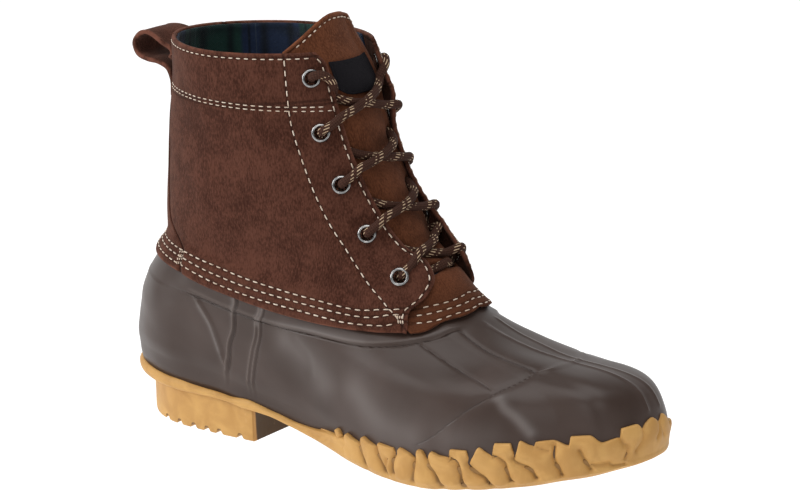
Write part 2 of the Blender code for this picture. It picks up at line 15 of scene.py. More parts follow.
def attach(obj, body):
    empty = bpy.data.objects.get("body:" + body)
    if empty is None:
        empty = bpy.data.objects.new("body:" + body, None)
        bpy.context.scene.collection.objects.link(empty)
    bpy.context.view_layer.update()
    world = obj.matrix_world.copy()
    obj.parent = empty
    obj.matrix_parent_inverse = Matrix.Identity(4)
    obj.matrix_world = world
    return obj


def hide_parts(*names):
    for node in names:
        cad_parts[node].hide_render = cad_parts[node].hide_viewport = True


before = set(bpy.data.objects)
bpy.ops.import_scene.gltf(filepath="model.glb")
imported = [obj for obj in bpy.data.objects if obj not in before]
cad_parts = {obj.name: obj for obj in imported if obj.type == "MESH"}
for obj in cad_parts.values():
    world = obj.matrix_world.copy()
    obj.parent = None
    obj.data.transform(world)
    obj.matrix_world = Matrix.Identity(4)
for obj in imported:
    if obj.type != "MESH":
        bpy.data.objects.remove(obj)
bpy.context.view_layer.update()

# %% [markdown]
# ## The last
# A last is the form that a boot is built over. Its sections run from the feather line, where sole
# and upper meet, up to the collar. Degrees run round the boot: 0 at the heel, 90 on the outer side,
# 180 at the toe, 270 on the inner side. The height t runs from 0 at the feather line to 1 at the collar.

# %% Sizes and sections
MM = 0.001
LENGTH = 300.0
BALL_WIDTH = 96.0
HEEL_HEIGHT = 33.0
TOE_HEIGHT = 23.5
LAST_TO_ORIGIN = np.array([-144.1, -1.0, 0.0])
SUEDE_WALL = 2.4
LAP = 0.07
SECTION_COLUMNS = (
    "back_x", "back_z", "front_x", "front_z",
    "outer_heel", "outer_waist", "outer_ball", "outer_toe",
    "inner_heel", "inner_waist", "inner_ball", "inner_toe",
    "back_round", "front_round", "dip", "swing",
)
SECTIONS = (
    (-3.8, HEEL_HEIGHT, 99.2, TOE_HEIGHT,
     39.6, 37.5, 51.0, 44.8, 38.5, 34.4, 49.0, 44.8, 16.0, 24.7, 1.0, 9.0),
    (-4.4, 49.1, 100.3, 34.4, 43.8, 42.7, 54.2, 45.8, 42.7, 39.6, 52.1, 45.8, 16.0, 25.3, 0.85, 9.0),
    (-3.8, 64.0, 97.5, 54.0, 43.8, 43.8, 52.1, 41.7, 42.7, 41.7, 47.9, 41.7, 16.0, 28.7, 0.5, 7.5),
    (-2.5, 79.0, 82.8, 63.2, 42.7, 43.8, 45.8, 37.5, 41.7, 42.7, 40.6, 33.3, 16.7, 32.7, 0.2, 6.0),
    (1.1, 92.8, 66.9, 78.9, 41.1, 43.2, 40.6, 34.4, 40.1, 42.2, 38.0, 31.8, 16.7, 28.7, 0.0, 4.5),
    (3.7, 104.5, 59.1, 100.5, 38.0, 40.6, 38.5, 33.9, 37.0, 40.6, 38.0, 33.9, 16.7, 23.3, 0.0, 3.0),
    (4.4, 134.5, 52.4, 131.0, 38.5, 42.7, 41.7, 37.5, 38.5, 42.7, 40.6, 37.5, 18.0, 21.3, 0.0, 1.5),
    (5.8, 169.5, 47.0, 165.4, 41.7, 44.8, 43.8, 41.7, 41.7, 44.8, 43.8, 41.7, 19.3, 20.0, 0.0, 0.0),
    (6.7, 208.4, 42.7, 207.8, 43.8, 46.9, 45.8, 43.8, 43.8, 46.9, 45.8, 43.8, 19.3, 19.3, 0.0, 0.0),
)
WIDTH_STATIONS = (0.10, 0.40, 0.68, 0.90)
WIDTH_PLACES = ("heel", "waist", "ball", "toe")
BACK_SQUARENESS = 2.0
FRONT_SQUARENESS = 2.2
SWING_START = 0.45
# Share of the length, then the heights of the feather line and of the underside.
SOLE = (
    (0.00, HEEL_HEIGHT, 19.5), (0.22, 27.4, 18.9), (0.31, 21.7, 15.6), (0.42, 15.4, 9.7),
    (0.52, 11.3, 2.6), (0.60, 9.5, 0.3), (0.66, 9.7, 0.0), (0.80, 13.0, 5.4), (1.00, TOE_HEIGHT, 18.4),
)
SUEDE_EDGE = (
    (0, 0.490), (49, 0.475), (65, 0.445), (92, 0.425), (128, 0.436), (151, 0.482), (180, 0.509),
)
FLAP_EDGE = (
    (0.436, 128), (0.50, 139), (0.55, 153), (0.60, 164.5), (0.635, 166.5), (0.67, 160.5),
    (0.72, 157), (0.80, 155.5), (0.92, 155.5), (0.98, 154.5), (1.0, 149),
)
FLAP_RISE = (119, 129)
TONGUE_HALF_ANGLE = 51.0
TONGUE_DIVE = (0.60, 0.68)
TONGUE_BASE_GAP = 0.3
FLAP_EASE = 1.1
GAP = 0.4
FINE = np.linspace(0, 1, 1601)
SLOPE_STEP = (0.05, 0.0005)
print("the last has", len(SECTIONS), "sections of", len(SECTION_COLUMNS), "numbers")

# %% Smooth curves


def smooth_table(places, values, at):
    """Cubic pieces through a table, without overshoot. Each value is a number, or an array like at."""
    places = np.asarray(places, float)
    at = np.asarray(at, float)
    values = np.stack([np.broadcast_to(np.asarray(v, float), at.shape) for v in values])
    step = np.diff(places)
    slope = np.diff(values, axis=0) / step.reshape((-1,) + (1,) * at.ndim)
    product = slope[:-1] * slope[1:]
    total = slope[:-1] + slope[1:]
    tangent = np.empty_like(values)
    tangent[0] = slope[0]
    tangent[-1] = slope[-1]
    tangent[1:-1] = np.divide(2 * product, total, out=np.zeros_like(total), where=product > 0)
    i = np.clip(np.searchsorted(places, at) - 1, 0, len(places) - 2)
    low, high = (np.take_along_axis(values, k[None], 0)[0] for k in (i, i + 1))
    low_tangent, high_tangent = (np.take_along_axis(tangent, k[None], 0)[0] for k in (i, i + 1))
    q = (at - places[i]) / step[i]
    rise = (high - low) * q * q * (3 - 2 * q)
    bend = step[i] * (low_tangent * q * (1 - q) ** 2 - high_tangent * q * q * (1 - q))
    return low + rise + bend


def smooth_step(start, end, x):
    """0 before start, 1 after end, and an S curve between."""
    q = np.clip((np.asarray(x, float) - start) / (end - start), 0, 1)
    return q * q * (3 - 2 * q)


def bell(x, centre, width):
    """A bell curve of height 1."""
    return np.exp(-(((x - centre) / width) ** 2))


def blend(first, second, share):
    """From the first value to the second."""
    return first + (second - first) * share


def table_at(table, at):
    """A smooth curve through a table of pairs, level beyond its ends."""
    places, values = zip(*table)
    return smooth_table(places, values, np.clip(at, places[0], places[-1]))


print("the flaps' edge half way up is at", table_at(FLAP_EDGE, 0.5).round(1), "degrees")

# %% The last as a function
LEVELS = np.linspace(0, 1, len(SECTIONS))
COLUMN = {
    name: smooth_table(LEVELS, [row[k] for row in SECTIONS], FINE)
    for k, name in enumerate(SECTION_COLUMNS)
}
SOLE_LINES = [smooth_table([row[0] for row in SOLE], [row[k] for row in SOLE], FINE) for k in (1, 2)]


def section(name, t):
    """One column of the sections at a height."""
    return np.interp(t, FINE, COLUMN[name])


def sole_lines(along):
    """Feather line and underside heights at a share of the length."""
    return [np.interp(along, FINE, line) for line in SOLE_LINES]


def folded(degrees):
    """The angle from the heel, the same on both sides."""
    return 180 - np.abs(180 - np.mod(degrees, 360))


def mirrored(angle, side):
    """An angle on the outer side as it is for side 1, and on the inner side for side -1."""
    return 180 + side * (angle - 180)


def along_foot(degrees):
    """Share of the length at an angle: 0 at the heel, 1 at the toe."""
    return (1 - np.cos(np.radians(degrees))) / 2


def line_height(table, degrees):
    """Height t of a line that is the same on both sides."""
    return table_at(table, folded(degrees))


def flap_edge(t):
    """Angle of the flaps' front edge."""
    return table_at(FLAP_EDGE, t)


def last_point(degrees, t):
    """Point of the last in millimetres: a section at height t, rounded off at heel and toe."""
    degrees, t = np.broadcast_arrays(np.asarray(degrees, float), np.asarray(t, float))
    low_t = np.minimum(t, 1.0)
    along = along_foot(degrees)
    back = section("back_x", low_t) * LENGTH / 100
    reach = section("front_x", low_t) * LENGTH / 100 - back
    station = np.clip(along, WIDTH_STATIONS[0], WIDTH_STATIONS[-1])
    outer, inner = (
        smooth_table(WIDTH_STATIONS, [section(side + place, low_t) for place in WIDTH_PLACES], station)
        for side in ("outer_", "inner_")
    )
    half = np.where(np.sin(np.radians(degrees)) >= 0, -outer, inner) * BALL_WIDTH / 100
    ends = ((along, "back_round", BACK_SQUARENESS), (1 - along, "front_round", FRONT_SQUARENESS))
    for gone, name, power in ends:
        q = np.clip(gone * reach / (section(name, low_t) * LENGTH / 100), 0, 1)
        half = half * (1 - (1 - q) ** power) ** (1 / power)
    swing = section("swing", low_t) * np.clip((along - SWING_START) / (1 - SWING_START), 0, 1) ** 2
    level = section("back_z", low_t) * (1 - along) + section("front_z", low_t) * along
    sag = sole_lines(along)[0] - (HEEL_HEIGHT * (1 - along) + TOE_HEIGHT * along)
    point = np.stack([back + reach * along, swing + half, level + section("dip", low_t) * sag], -1)
    above = (t - low_t)[..., None]
    if np.any(above > 0):
        point = point + above * (last_point(degrees, 1.0) - last_point(degrees, 0.99)) / 0.01
    return point


print("last: toe at", last_point(180.0, 0.1).round(1), "collar back at", last_point(0.0, 1.0).round(1))

# %% Directions on the last


def slopes(degrees, t):
    """How the last runs per degree and per t: two vectors."""
    turn, climb = SLOPE_STEP
    across = (last_point(degrees + turn, t) - last_point(degrees - turn, t)) / (2 * turn)
    upward = (last_point(degrees, t + climb) - last_point(degrees, t - climb)) / (2 * climb)
    return across, upward


def unit(vectors):
    """The same directions with a length of 1."""
    return vectors / np.linalg.norm(vectors, axis=-1, keepdims=True)


def normal(degrees, t):
    """Unit vector out of the last."""
    return unit(np.cross(*slopes(degrees, t)))


def over(degrees, t, height):
    """Point at a height in millimetres over the last."""
    return last_point(degrees, t) + normal(degrees, t) * np.asarray(height, float)[..., None]


def mm_per_degree(degrees, t):
    """Millimetres round the last in one degree."""
    return np.linalg.norm(slopes(degrees, t)[0], axis=-1)


def mm_per_t(degrees, t):
    """Millimetres up the last in a whole t."""
    return np.linalg.norm(slopes(degrees, t)[1], axis=-1)


def feather_outline(degrees, out, height):
    """The feather line seen from above, moved outwards, at a height."""
    across = slopes(degrees, 0.0)[0]
    plan = unit(np.stack([across[..., 1], -across[..., 0]], -1))
    point = last_point(degrees, 0.0)
    point[..., :2] += plan * np.asarray(out, float)[..., None]
    point[..., 2] = height
    return point


print("one degree round the ball is", mm_per_degree(110.0, 0.1).round(2), "mm")

# %% [markdown]
# ## From arrays to meshes
# A grid of points becomes a mesh of quads. Joining the last column to the first closes a ring, and
# joining the last row to the first closes a wall that has gone up outside and come down inside.
# Numbers that a finish needs, such as the distance from an edge, ride on the points as fields.

# %% Mesh helpers
QUADS = {}
WELD_GAP = 1e-6


def quads(rows, columns, ring=False, loop=False):
    """Corner numbers of a grid's quads. ring joins its sides, loop joins its top to its bottom."""
    r = np.arange(rows if loop else rows - 1)[:, None]
    c = np.arange(columns if ring else columns - 1)[None]
    here, there = r * columns, (r + 1) % rows * columns
    beside = (c + 1) % columns
    corners = np.broadcast_arrays(here + c, here + beside, there + beside, there + c)
    return np.stack(corners, -1).reshape(-1, 4)


def add_piece(
    name, points, finish, replaced=(), faces=None, ring=False, loop=False,
    wall=0.0, weld=False, fields=None, uv=None,
):
    """A smooth mesh from millimetre points in the last's frame, riding on the boot.

    Its faces are the grid's quads if none are given. A wall adds that thickness behind the face.
    """
    if faces is None:
        faces = quads(*points.shape[:2], ring, loop)
    mesh = bpy.data.meshes.new(name)
    places = (points.reshape(-1, 3) + LAST_TO_ORIGIN) * MM
    mesh.from_pydata(places.tolist(), [], faces.tolist())
    for field, values in (fields or {}).items():
        attribute = mesh.attributes.new(field, "FLOAT", "POINT")
        attribute.data.foreach_set("value", np.ascontiguousarray(values, np.float32).ravel())
    if uv is not None:
        corner = np.empty(len(mesh.loops), np.int32)
        mesh.loops.foreach_get("vertex_index", corner)
        layer = mesh.uv_layers.new(name="UVMap")
        layer.data.foreach_set("uv", uv.reshape(-1, 2)[corner].astype(np.float32).ravel())
    mesh.shade_smooth()
    mesh.materials.append(finish)
    piece = bpy.data.objects.new(name, mesh)
    bpy.context.scene.collection.objects.link(piece)
    if weld:
        merge = piece.modifiers.new("weld", "WELD")
        merge.merge_threshold = WELD_GAP
    if wall:
        solid = piece.modifiers.new("wall", "SOLIDIFY")
        solid.thickness = wall * MM
        solid.offset = -1.0
    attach(piece, "root")
    if replaced:
        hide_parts(*replaced)
    QUADS[name] = len(faces)
    print(name, "has", len(faces), "quads")


print("a test grid has", len(quads(3, 4, ring=True)), "quads")

# %% Curves and distances


def distances(points, axis=0):
    """Distance walked from the first row of points, or from the first column of a grid."""
    step = np.linalg.norm(np.diff(points, axis=axis), axis=-1)
    return np.concatenate([np.zeros_like(np.take(step, [0], axis)), np.cumsum(step, axis)], axis)


def edge_distances(points):
    """Distances from a grid's bottom, from its top and from the nearer of its sides."""
    up, across = distances(points, 0), distances(points, 1)
    return up, up[-1:] - up, np.minimum(across, across[:, -1:] - across)


def curve_through(places, count, even=False):
    """Cubic pieces through places, with each place's slope taken from its neighbours."""
    places = np.asarray(places, float)
    s = np.arange(float(len(places))) if even else distances(places)
    slope = np.gradient(places, s, axis=0)
    at = np.linspace(0, s[-1], count)
    i = np.clip(np.searchsorted(s, at) - 1, 0, len(s) - 2)
    width = (s[i + 1] - s[i])[:, None]
    q = ((at - s[i]) / width[:, 0])[:, None]
    start = (1 + 2 * q) * (1 - q) ** 2 * places[i] + q * (1 - q) ** 2 * width * slope[i]
    return start + q * q * (3 - 2 * q) * places[i + 1] - q * q * (1 - q) * width * slope[i + 1]


def even_steps(path, step):
    """A path walked again in equal steps, with the distance gone at each."""
    gone = distances(path)
    at = np.linspace(0, gone[-1], max(2, round(gone[-1] / step) + 1))
    return np.stack([np.interp(at, gone, path[:, k]) for k in range(path.shape[1])], -1), at


def line_distance(points, line):
    """Distance from each point to the nearest stretch of a line."""
    best = np.full(points.shape[:-1], np.inf)
    for start, end in zip(line, line[1:]):
        run = end - start
        q = np.clip((points - start) @ run / (run @ run), 0, 1)
        best = np.minimum(best, np.linalg.norm(points - start - q[..., None] * run, axis=-1))
    return best


def ripple(points, wave, seed, waves=7):
    """A slow unevenness between about -1 and 1: a few slanted sine waves of about one wavelength."""
    rng = np.random.default_rng(seed)
    heading = unit(rng.normal(size=(waves, 3)))
    pace = 2 * np.pi / (wave * rng.uniform(0.7, 1.6, (waves, 1)))
    phase = rng.uniform(0, 2 * np.pi, waves)
    return np.sin(points @ (heading * pace).T + phase).sum(-1) / math.sqrt(waves)


print("a diagonal of a square is", distances(np.array([(0, 0), (1, 1)]))[-1].round(3), "sides long")

# %% [markdown]
# ## Shader maths in Python
# A finish is a node tree. Wrapping a socket in a small class lets the maths be written as plain
# expressions: each operator adds one Math node. Colours go through a Mix node instead.

# %% Tones


class Tone:
    """A number over a surface, as a socket that can be used in arithmetic."""

    def __init__(self, finish, socket):
        self.finish = finish
        self.socket = socket

    def math(self, operation, first, second=0.0):
        return self.finish.node("ShaderNodeMath", [first, second], operation=operation)

    def __add__(self, other):
        return self.math("ADD", self, other)

    def __sub__(self, other):
        return self.math("SUBTRACT", self, other)

    def __rsub__(self, other):
        return self.math("SUBTRACT", other, self)

    def __mul__(self, other):
        return self.math("MULTIPLY", self, other)

    __radd__ = __add__
    __rmul__ = __mul__

    def wave(self):
        """The sine."""
        return self.math("SINE", self)

    def size(self):
        """The value without its sign."""
        return self.math("ABSOLUTE", self)

    def rest(self, period):
        """What is left over after whole periods."""
        return self.math("FLOORED_MODULO", self, period)

    def larger(self, other):
        return self.math("MAXIMUM", self, other)

    def step(self, start, end):
        """0 before start, 1 after end, and an S curve between."""
        limits = {"Value": self, "From Min": start, "From Max": end}
        return self.finish.node("ShaderNodeMapRange", limits, interpolation_type="SMOOTHSTEP")

    def near(self, place, width):
        """1 at a place, falling to 0 a width away."""
        return 1 - (self - place).size().step(0.0, width)


print("a Tone knows", ", ".join(name for name in vars(Tone) if not name.startswith("_")))

# %% Finishes


class Finish:
    """A Principled material and the nodes that feed it."""

    def __init__(self, name, **sockets):
        self.material = bpy.data.materials.new(name)
        self.material.use_nodes = True
        self.tree = self.material.node_tree
        self.shader = self.tree.nodes["Principled BSDF"]
        for socket, value in sockets.items():
            self.feed(socket.replace("_", " "), value)

    def node(self, kind, inputs=(), out=0, **settings):
        """One node: its settings first, then the values or links of its sockets."""
        node = self.tree.nodes.new(kind)
        for setting, value in settings.items():
            setattr(node, setting, value)
        for key, value in inputs.items() if isinstance(inputs, dict) else enumerate(inputs):
            self.plug(node.inputs[key], value)
        return Tone(self, node.outputs[out])

    def plug(self, socket, value):
        if isinstance(value, Tone):
            self.tree.links.new(value.socket, socket)
        elif isinstance(value, tuple) and len(value) == 3 and socket.type == "RGBA":
            socket.default_value = (*value, 1.0)
        else:
            socket.default_value = value

    def feed(self, socket, value):
        self.plug(self.shader.inputs[socket], value)

    def place(self, scale=None, source="Object"):
        """Object or UV coordinates, stretched if a scale is given."""
        here = self.node("ShaderNodeTexCoord", out=source)
        return self.node("ShaderNodeMapping", {"Vector": here, "Scale": scale}) if scale else here

    def cloth(self):
        """The two UV coordinates."""
        here = self.place(source="UV")
        return [self.node("ShaderNodeSeparateXYZ", [here], out=axis) for axis in "XY"]

    def field(self, name):
        """A number that rides on the mesh."""
        return self.node("ShaderNodeAttribute", out="Fac", attribute_name=name)

    def noise(self, vector, scale, detail=2.0, distortion=0.0):
        sockets = {"Vector": vector, "Scale": scale, "Detail": detail, "Distortion": distortion}
        return self.node("ShaderNodeTexNoise", sockets)

    def mix(self, factor, first, second):
        """From the first colour to the second."""
        return self.node("ShaderNodeMix", {0: factor, 6: first, 7: second}, out=2, data_type="RGBA")

    def done(self, colour, height, distance):
        """The material, with its colour, and a bump of a height times a distance in millimetres."""
        self.feed("Base Color", colour)
        sockets = {"Height": height, "Distance": distance * MM, "Strength": 1.0}
        self.feed("Normal", self.node("ShaderNodeBump", sockets))
        print(self.material.name, "has", len(self.tree.nodes), "nodes")
        return self.material


def times(colour, factor):
    """A lighter or darker colour."""
    return tuple(factor * c for c in colour)


print("finish helpers ready; half of a grey is", times((0.5, 0.5, 0.5), 0.5))

# %% [markdown]
# ## Suede
# Suede is leather with the flesh side brushed up. Light catches the short fibres unevenly, so the
# brown drifts between a dull dark tone and a lighter, redder one, with fine streaks where it was
# brushed downwards. Stitch rows pull the nap into narrow troughs, darkened with painted shade, and
# a painted shadow darkens the suede along bare panel edges. Cut edges wear paler. The troughs come
# from distances stored on the mesh, so they are sharper than its grid.

# %% Suede finish
BAND_ROWS = (0.0, 3.75, 7.5)
COLLAR_ROWS = (2.9, 26.2, 28.2)
FLAP_ROW = 2.5
TONGUE_ROW = 2.8


def suede_finish(name, dark, light, rows, seams=(), dim=0.0):
    """Brown suede.

    rows gives each field's stitch rows in millimetres, seams the fields of bare panel edges, along
    which a painted shadow darkens the suede, and dim is how much darker the panel is at its base. The
    stitch troughs are darkened with painted shade.
    """
    f = Finish(
        name, Roughness=0.95, Specular_IOR_Level=0.12,
        Sheen_Weight=0.1, Sheen_Roughness=0.45, Sheen_Tint=(0.8, 0.5, 0.4))
    here = f.place()
    streaks = f.noise(f.place((1.0, 1.0, 0.42)), 1250.0, 4.0)
    fibres = f.noise(here, 2300.0, 3.0)
    brushed = f.noise(here, 26.0, 4.0, 0.8)
    mottled = f.noise(here, 130.0, 4.0, 0.4)
    shade = brushed * 0.30 + mottled * 0.26 + streaks * 0.44
    colour = f.mix(shade.step(0.38, 0.62), dark, light)
    glints = (fibres * 0.6 + streaks * 0.4).step(0.52, 0.72)
    colour = f.mix(glints * 0.4, colour, times(light, 1.6))
    worn = (1 - f.field("edge").step(0.2, 1.5)) * mottled.step(0.35, 0.6)
    colour = f.mix(worn * 0.5, colour, times(light, 2.1))
    relief = streaks * 0.6 + fibres * 0.5 + mottled * 0.8
    # Each stitch trough is darkened with painted shade, and each bare panel edge with a painted shadow.
    marks = [(field, place, 1.1, 0.5) for field, places in rows.items() for place in places]
    marks += [(field, -1.0, 1.5, 0.95) for field in seams]
    for field, place, width, strength in marks:
        trough = f.field(field).near(place, width)
        colour = f.mix(trough * strength, colour, times(dark, 0.4))
        relief = relief - trough * 1.6
    if dim:
        low = 1 - f.field("band").step(8.0, 18.0)
        colour = f.mix(low * dim, colour, times(dark, 0.6))
    return f.done(colour, relief, 0.32)


SHAFT_ROWS = {"band": BAND_ROWS, "collar": COLLAR_ROWS, "flap": (FLAP_ROW,), "eyestay": (0.0,)}
TONGUE_ROWS = {"band": BAND_ROWS, "collar": (TONGUE_ROW,)}
shaft_suede = suede_finish(
    "suede_shaft", (0.038, 0.0120, 0.0066), (0.093, 0.0342, 0.0213), SHAFT_ROWS, ["backstay"])
tongue_suede = suede_finish(
    "suede_tongue", (0.074, 0.0235, 0.0101), (0.139, 0.047, 0.0213), TONGUE_ROWS, dim=0.5)
strap_suede = suede_finish("suede_strap", (0.041, 0.0142, 0.0085), (0.104, 0.040, 0.0263), {})

# %% [markdown]
# ## The rubber foot
# The foot is one moulding. A soft bead runs round its top under the suede, with a fine groove below
# it. Narrow ribs stiffen the heel and run down over the vamp to a line across the toe. The ribs are
# lists of a few places on the last; each point of a dense grid is raised by its distance from them.

# %% Rubber finish


def rubber_finish():
    """Dark brown moulded rubber: satin, a little cloudy, with a fine tooth and crisp moulded lines;
    painted highlights on ridges, the bead and soft forms, and painted shade in grooves.
    """
    f = Finish("dark_rubber", IOR=1.5, Specular_IOR_Level=0.33)
    here = f.place()
    cloud = f.noise(here, 22.0, 3.0, 0.5)
    tooth = f.noise(here, 1500.0, 3.0)
    ridge = f.field("ridge").near(0.0, 1.0)
    groove = f.field("groove").near(0.0, 1.5)
    colour = f.mix(cloud.step(0.35, 0.7), (0.042, 0.025, 0.0188), (0.059, 0.038, 0.0308))
    # Painted highlights: the pale field lightens the rubber where light catches the bead and its soft
    # forms.
    colour = f.mix(f.field("pale") * (cloud * 0.5 + 0.3), colour, (0.19, 0.165, 0.155))
    # Painted highlight along the raised lines and the bead's crown.
    colour = f.mix(ridge * 0.5, colour, (0.16, 0.125, 0.11))
    # Painted shade in the grooves.
    colour = f.mix(groove * 0.6, colour, (0.02, 0.014, 0.012))
    f.feed("Roughness", cloud * 0.12 + 0.34)
    return f.done(colour, tooth * 0.06 + ridge * 0.6 - groove, 0.45)


dark_rubber = rubber_finish()

# %% Moulded lines of the rubber
RUBBER_DEPTH = 0.5
HEEL_STRAP = ((74, 0.445), (73, 0.417), (68.5, 0.345), (64, 0.242), (62.5, 0.155), (60.6, 0.0))
ANKLE_STRAP = (
    (83.5, 0.445), (80.5, 0.405), (75.7, 0.345), (71.6, 0.27), (69.3, 0.19), (68.2, 0.12), (67.6, 0.0),
)
# The straps' lines cross the bead: width and height of the soft form, strength of the crisp line
# (above 0 a painted highlight on the raised line, below 0 painted shade in a groove), degrees that
# the line is moved along, and its places.
STRAP_LINES = (
    (1.1, 0.6, 1.0, -0.2, HEEL_STRAP),
    (0.9, -0.35, -0.6, 0.7, HEEL_STRAP),
    (0.8, 0.55, 1.0, -0.55, ANKLE_STRAP),
    (0.8, 0.45, 0.9, 0.55, ANKLE_STRAP),
    (0.8, -0.25, -0.35, 1.2, ANKLE_STRAP),
)
# The other lines end below the bead: width, height, strength of the crisp line (above 0 a painted
# highlight, below 0 painted shade) and places.
LINES = {
    "heel brace": (1.7, 0.9, 0.5, ((57.5, 0.37), (58.5, 0.30), (59.3, 0.24), (61.5, 0.14))),
    "vamp side": (1.2, -0.4, -0.3, ((129, 0.42), (130.5, 0.357), (131.5, 0.29))),
    "vamp side low": (2.4, 0.55, 0.2, ((131.3, 0.265), (131, 0.245), (133.5, 0.215), (137, 0.16))),
    "vamp": (1.2, -0.35, -0.35, ((153, 0.468), (150, 0.417), (150.5, 0.383), (153, 0.343))),
    "vamp low": (3.4, -0.5, 0.0, ((153, 0.343), (155.5, 0.29), (156, 0.24), (156.5, 0.16))),
    "vamp top": (1.1, 0.4, 0.6, ((173, 0.49), (174, 0.44), (175, 0.41), (177, 0.357), (176.5, 0.19))),
    "side crease": (3.0, -0.45, 0.0, ((85.4, 0.33), (85.3, 0.28), (84.6, 0.22))),
    "toe line side": (2.2, -0.5, -0.35, (
        (110, 0.118), (117.5, 0.184), (123.5, 0.229), (131, 0.276), (139.5, 0.307), (150, 0.337))),
    "toe line top": (1.1, 0.4, 0.7, ((150, 0.337), (153, 0.343), (168, 0.356), (180, 0.36))),
}
LINE_POINTS = 26
HIGHLIGHT_POINTS = 12
# Painted highlights, paler places where light catches the rubber's soft forms: width, strength and
# places.
PAINTED_HIGHLIGHTS = (
    (8.0, 0.65, ((81, 0.305), (83.6, 0.28), (86.4, 0.235), (87.5, 0.205))),
    (8.5, 0.55, ((96, 0.215), (100.4, 0.165), (108.5, 0.141))),
    (1.4, 1.0, ((83.0, 0.437), (80.3, 0.405), (77.4, 0.37), (75.5, 0.345))),
    (1.6, 0.55, ((72.6, 0.43), (71.4, 0.40), (69.0, 0.36))),
    (1.8, 0.5, ((57.3, 0.34), (58.4, 0.27), (60.2, 0.18))),
    (2.6, 1.0, ((131.2, 0.258), (131.4, 0.235), (133.5, 0.21), (136, 0.175))),
    (7.0, 0.3, ((117, 0.15), (122.5, 0.163), (127, 0.17))),
)
FAR = 6.0


def on_rubber(places, side, count):
    """A smooth line through places on the rubber, on one side of the foot."""
    degrees, t = curve_through(np.array(places) * (side, 1), count, even=True).T
    return over(degrees, t, -RUBBER_DEPTH)


def moulded_lines():
    """Each line on both sides of the foot: its sizes, whether it crosses the bead, and its points."""
    lines = [(*sizes, True, np.array(places) + (shift, 0)) for *sizes, shift, places in STRAP_LINES]
    lines += [(*sizes, False, places) for *sizes, places in LINES.values()]
    for *sizes, places in lines:
        for side in (1, -1):
            yield *sizes, on_rubber(places, side, LINE_POINTS)


print("moulded lines on each side:", len(STRAP_LINES) + len(LINES))

# %% Relief of the rubber
BEAD_HEIGHT = 0.95
BEAD_GROOVE = 0.3
BEAD_SHINE = 0.6
STEP_LINE = (
    (0, 0.402), (30, 0.394), (54, 0.383), (69, 0.366), (80, 0.361), (95, 0.377), (106, 0.382),
    (120, 0.403), (130, 0.422), (150, 0.460), (165, 0.478), (180, 0.484),
)
STEP_FADE = (44, 58)
STEP_END = (166, 148)


def moulding(plain, angle, t, above):
    """Relief of the bead and the moulded lines, and the fields that the finish reads for painted
    highlights on ridges and soft forms and painted shade in grooves.
    """
    shown = smooth_step(*STEP_FADE, angle) * smooth_step(*STEP_END, angle)
    flatter = 1 - 0.45 * smooth_step(2.5, 9.0, above)
    raised = BEAD_HEIGHT * shown * smooth_step(0.0, 1.8, above) * flatter
    raised -= BEAD_GROOVE * shown * bell(above, 0.0, 0.8)
    below = smooth_step(0.5, -1.5, above)
    # Painted highlight along the bead's crown, and painted shade in the fine groove below it.
    ridge = np.minimum(FAR, 0.25 * np.abs(above - 3.5) + 0.5 + 3 * (1 - shown))
    groove = np.minimum(FAR, 1.6 * np.abs(above) + 0.35 + 3 * (1 - shown))
    for width, height, line, crosses, places in moulded_lines():
        distance = line_distance(plain, places)
        seen = smooth_step(0.0, 0.12, t) if crosses else below
        raised += height * bell(distance, 0.0, width) * seen
        crisp = distance + (1 - abs(line)) + FAR * (1 - seen)
        if line > 0:
            ridge = np.minimum(ridge, crisp)
        if line < 0:
            groove = np.minimum(groove, crisp)
    # Painted highlight along the bead on each side, then painted highlights along the listed places.
    side_light = smooth_step(76, 88, angle) * smooth_step(126, 106, angle)
    pale = BEAD_SHINE * side_light * bell(above, 3.6, 1.9)
    for width, strength, places in PAINTED_HIGHLIGHTS:
        for side in (1, -1):
            distance = line_distance(plain, on_rubber(places, side, HIGHLIGHT_POINTS))
            pale = np.maximum(pale, strength * bell(distance, 0.0, width))
    uneven = 0.36 * ripple(plain, 34, 3) + 0.12 * ripple(plain, 15, 4)
    return raised + uneven * below, {"ridge": ridge, "groove": groove, "pale": pale}


print("paler places on each side:", len(PAINTED_HIGHLIGHTS), "and the bead")

# %% Rubber foot
RUBBER_WALL = 2.5
RUBBER_SKIRT = 6.0
RUBBER_LAP = 0.8 * LAP
LIP_FLARE = 1.3
# Soft swellings and hollows: height, the angles over which it grows, and its place and width in t.
SWELLINGS = (
    (2.4, (135, 165), (0.28, 0.08)), (-1.0, (150, 175), (0.41, 0.05)),
    (1.0, (50, 20), (0.05, 0.08)), (-1.2, (50, 20), (0.4, 0.08)),
)
RUBBER_DEGREES = ((0, 0.0), (50, 0.105), (90, 0.275), (180, 0.5), (270, 0.725), (310, 0.895), (360, 1.0))
RUBBER_COLUMNS = 690
RUBBER_ROWS = 128
INNER_ROWS = 8
TOE_ROUNDS = 70


def rounded_toe(points, angle, t):
    """Points eased towards the middle of the ones above and below them, only round the toe."""
    share = 0.5 * smooth_step(105, 140, angle) * smooth_step(0.05, 0.14, t) * smooth_step(0.46, 0.38, t)
    for _ in range(TOE_ROUNDS):
        points[1:-1] += share[1:-1, :, None] * ((points[:-2] + points[2:]) / 2 - points[1:-1])
    return points


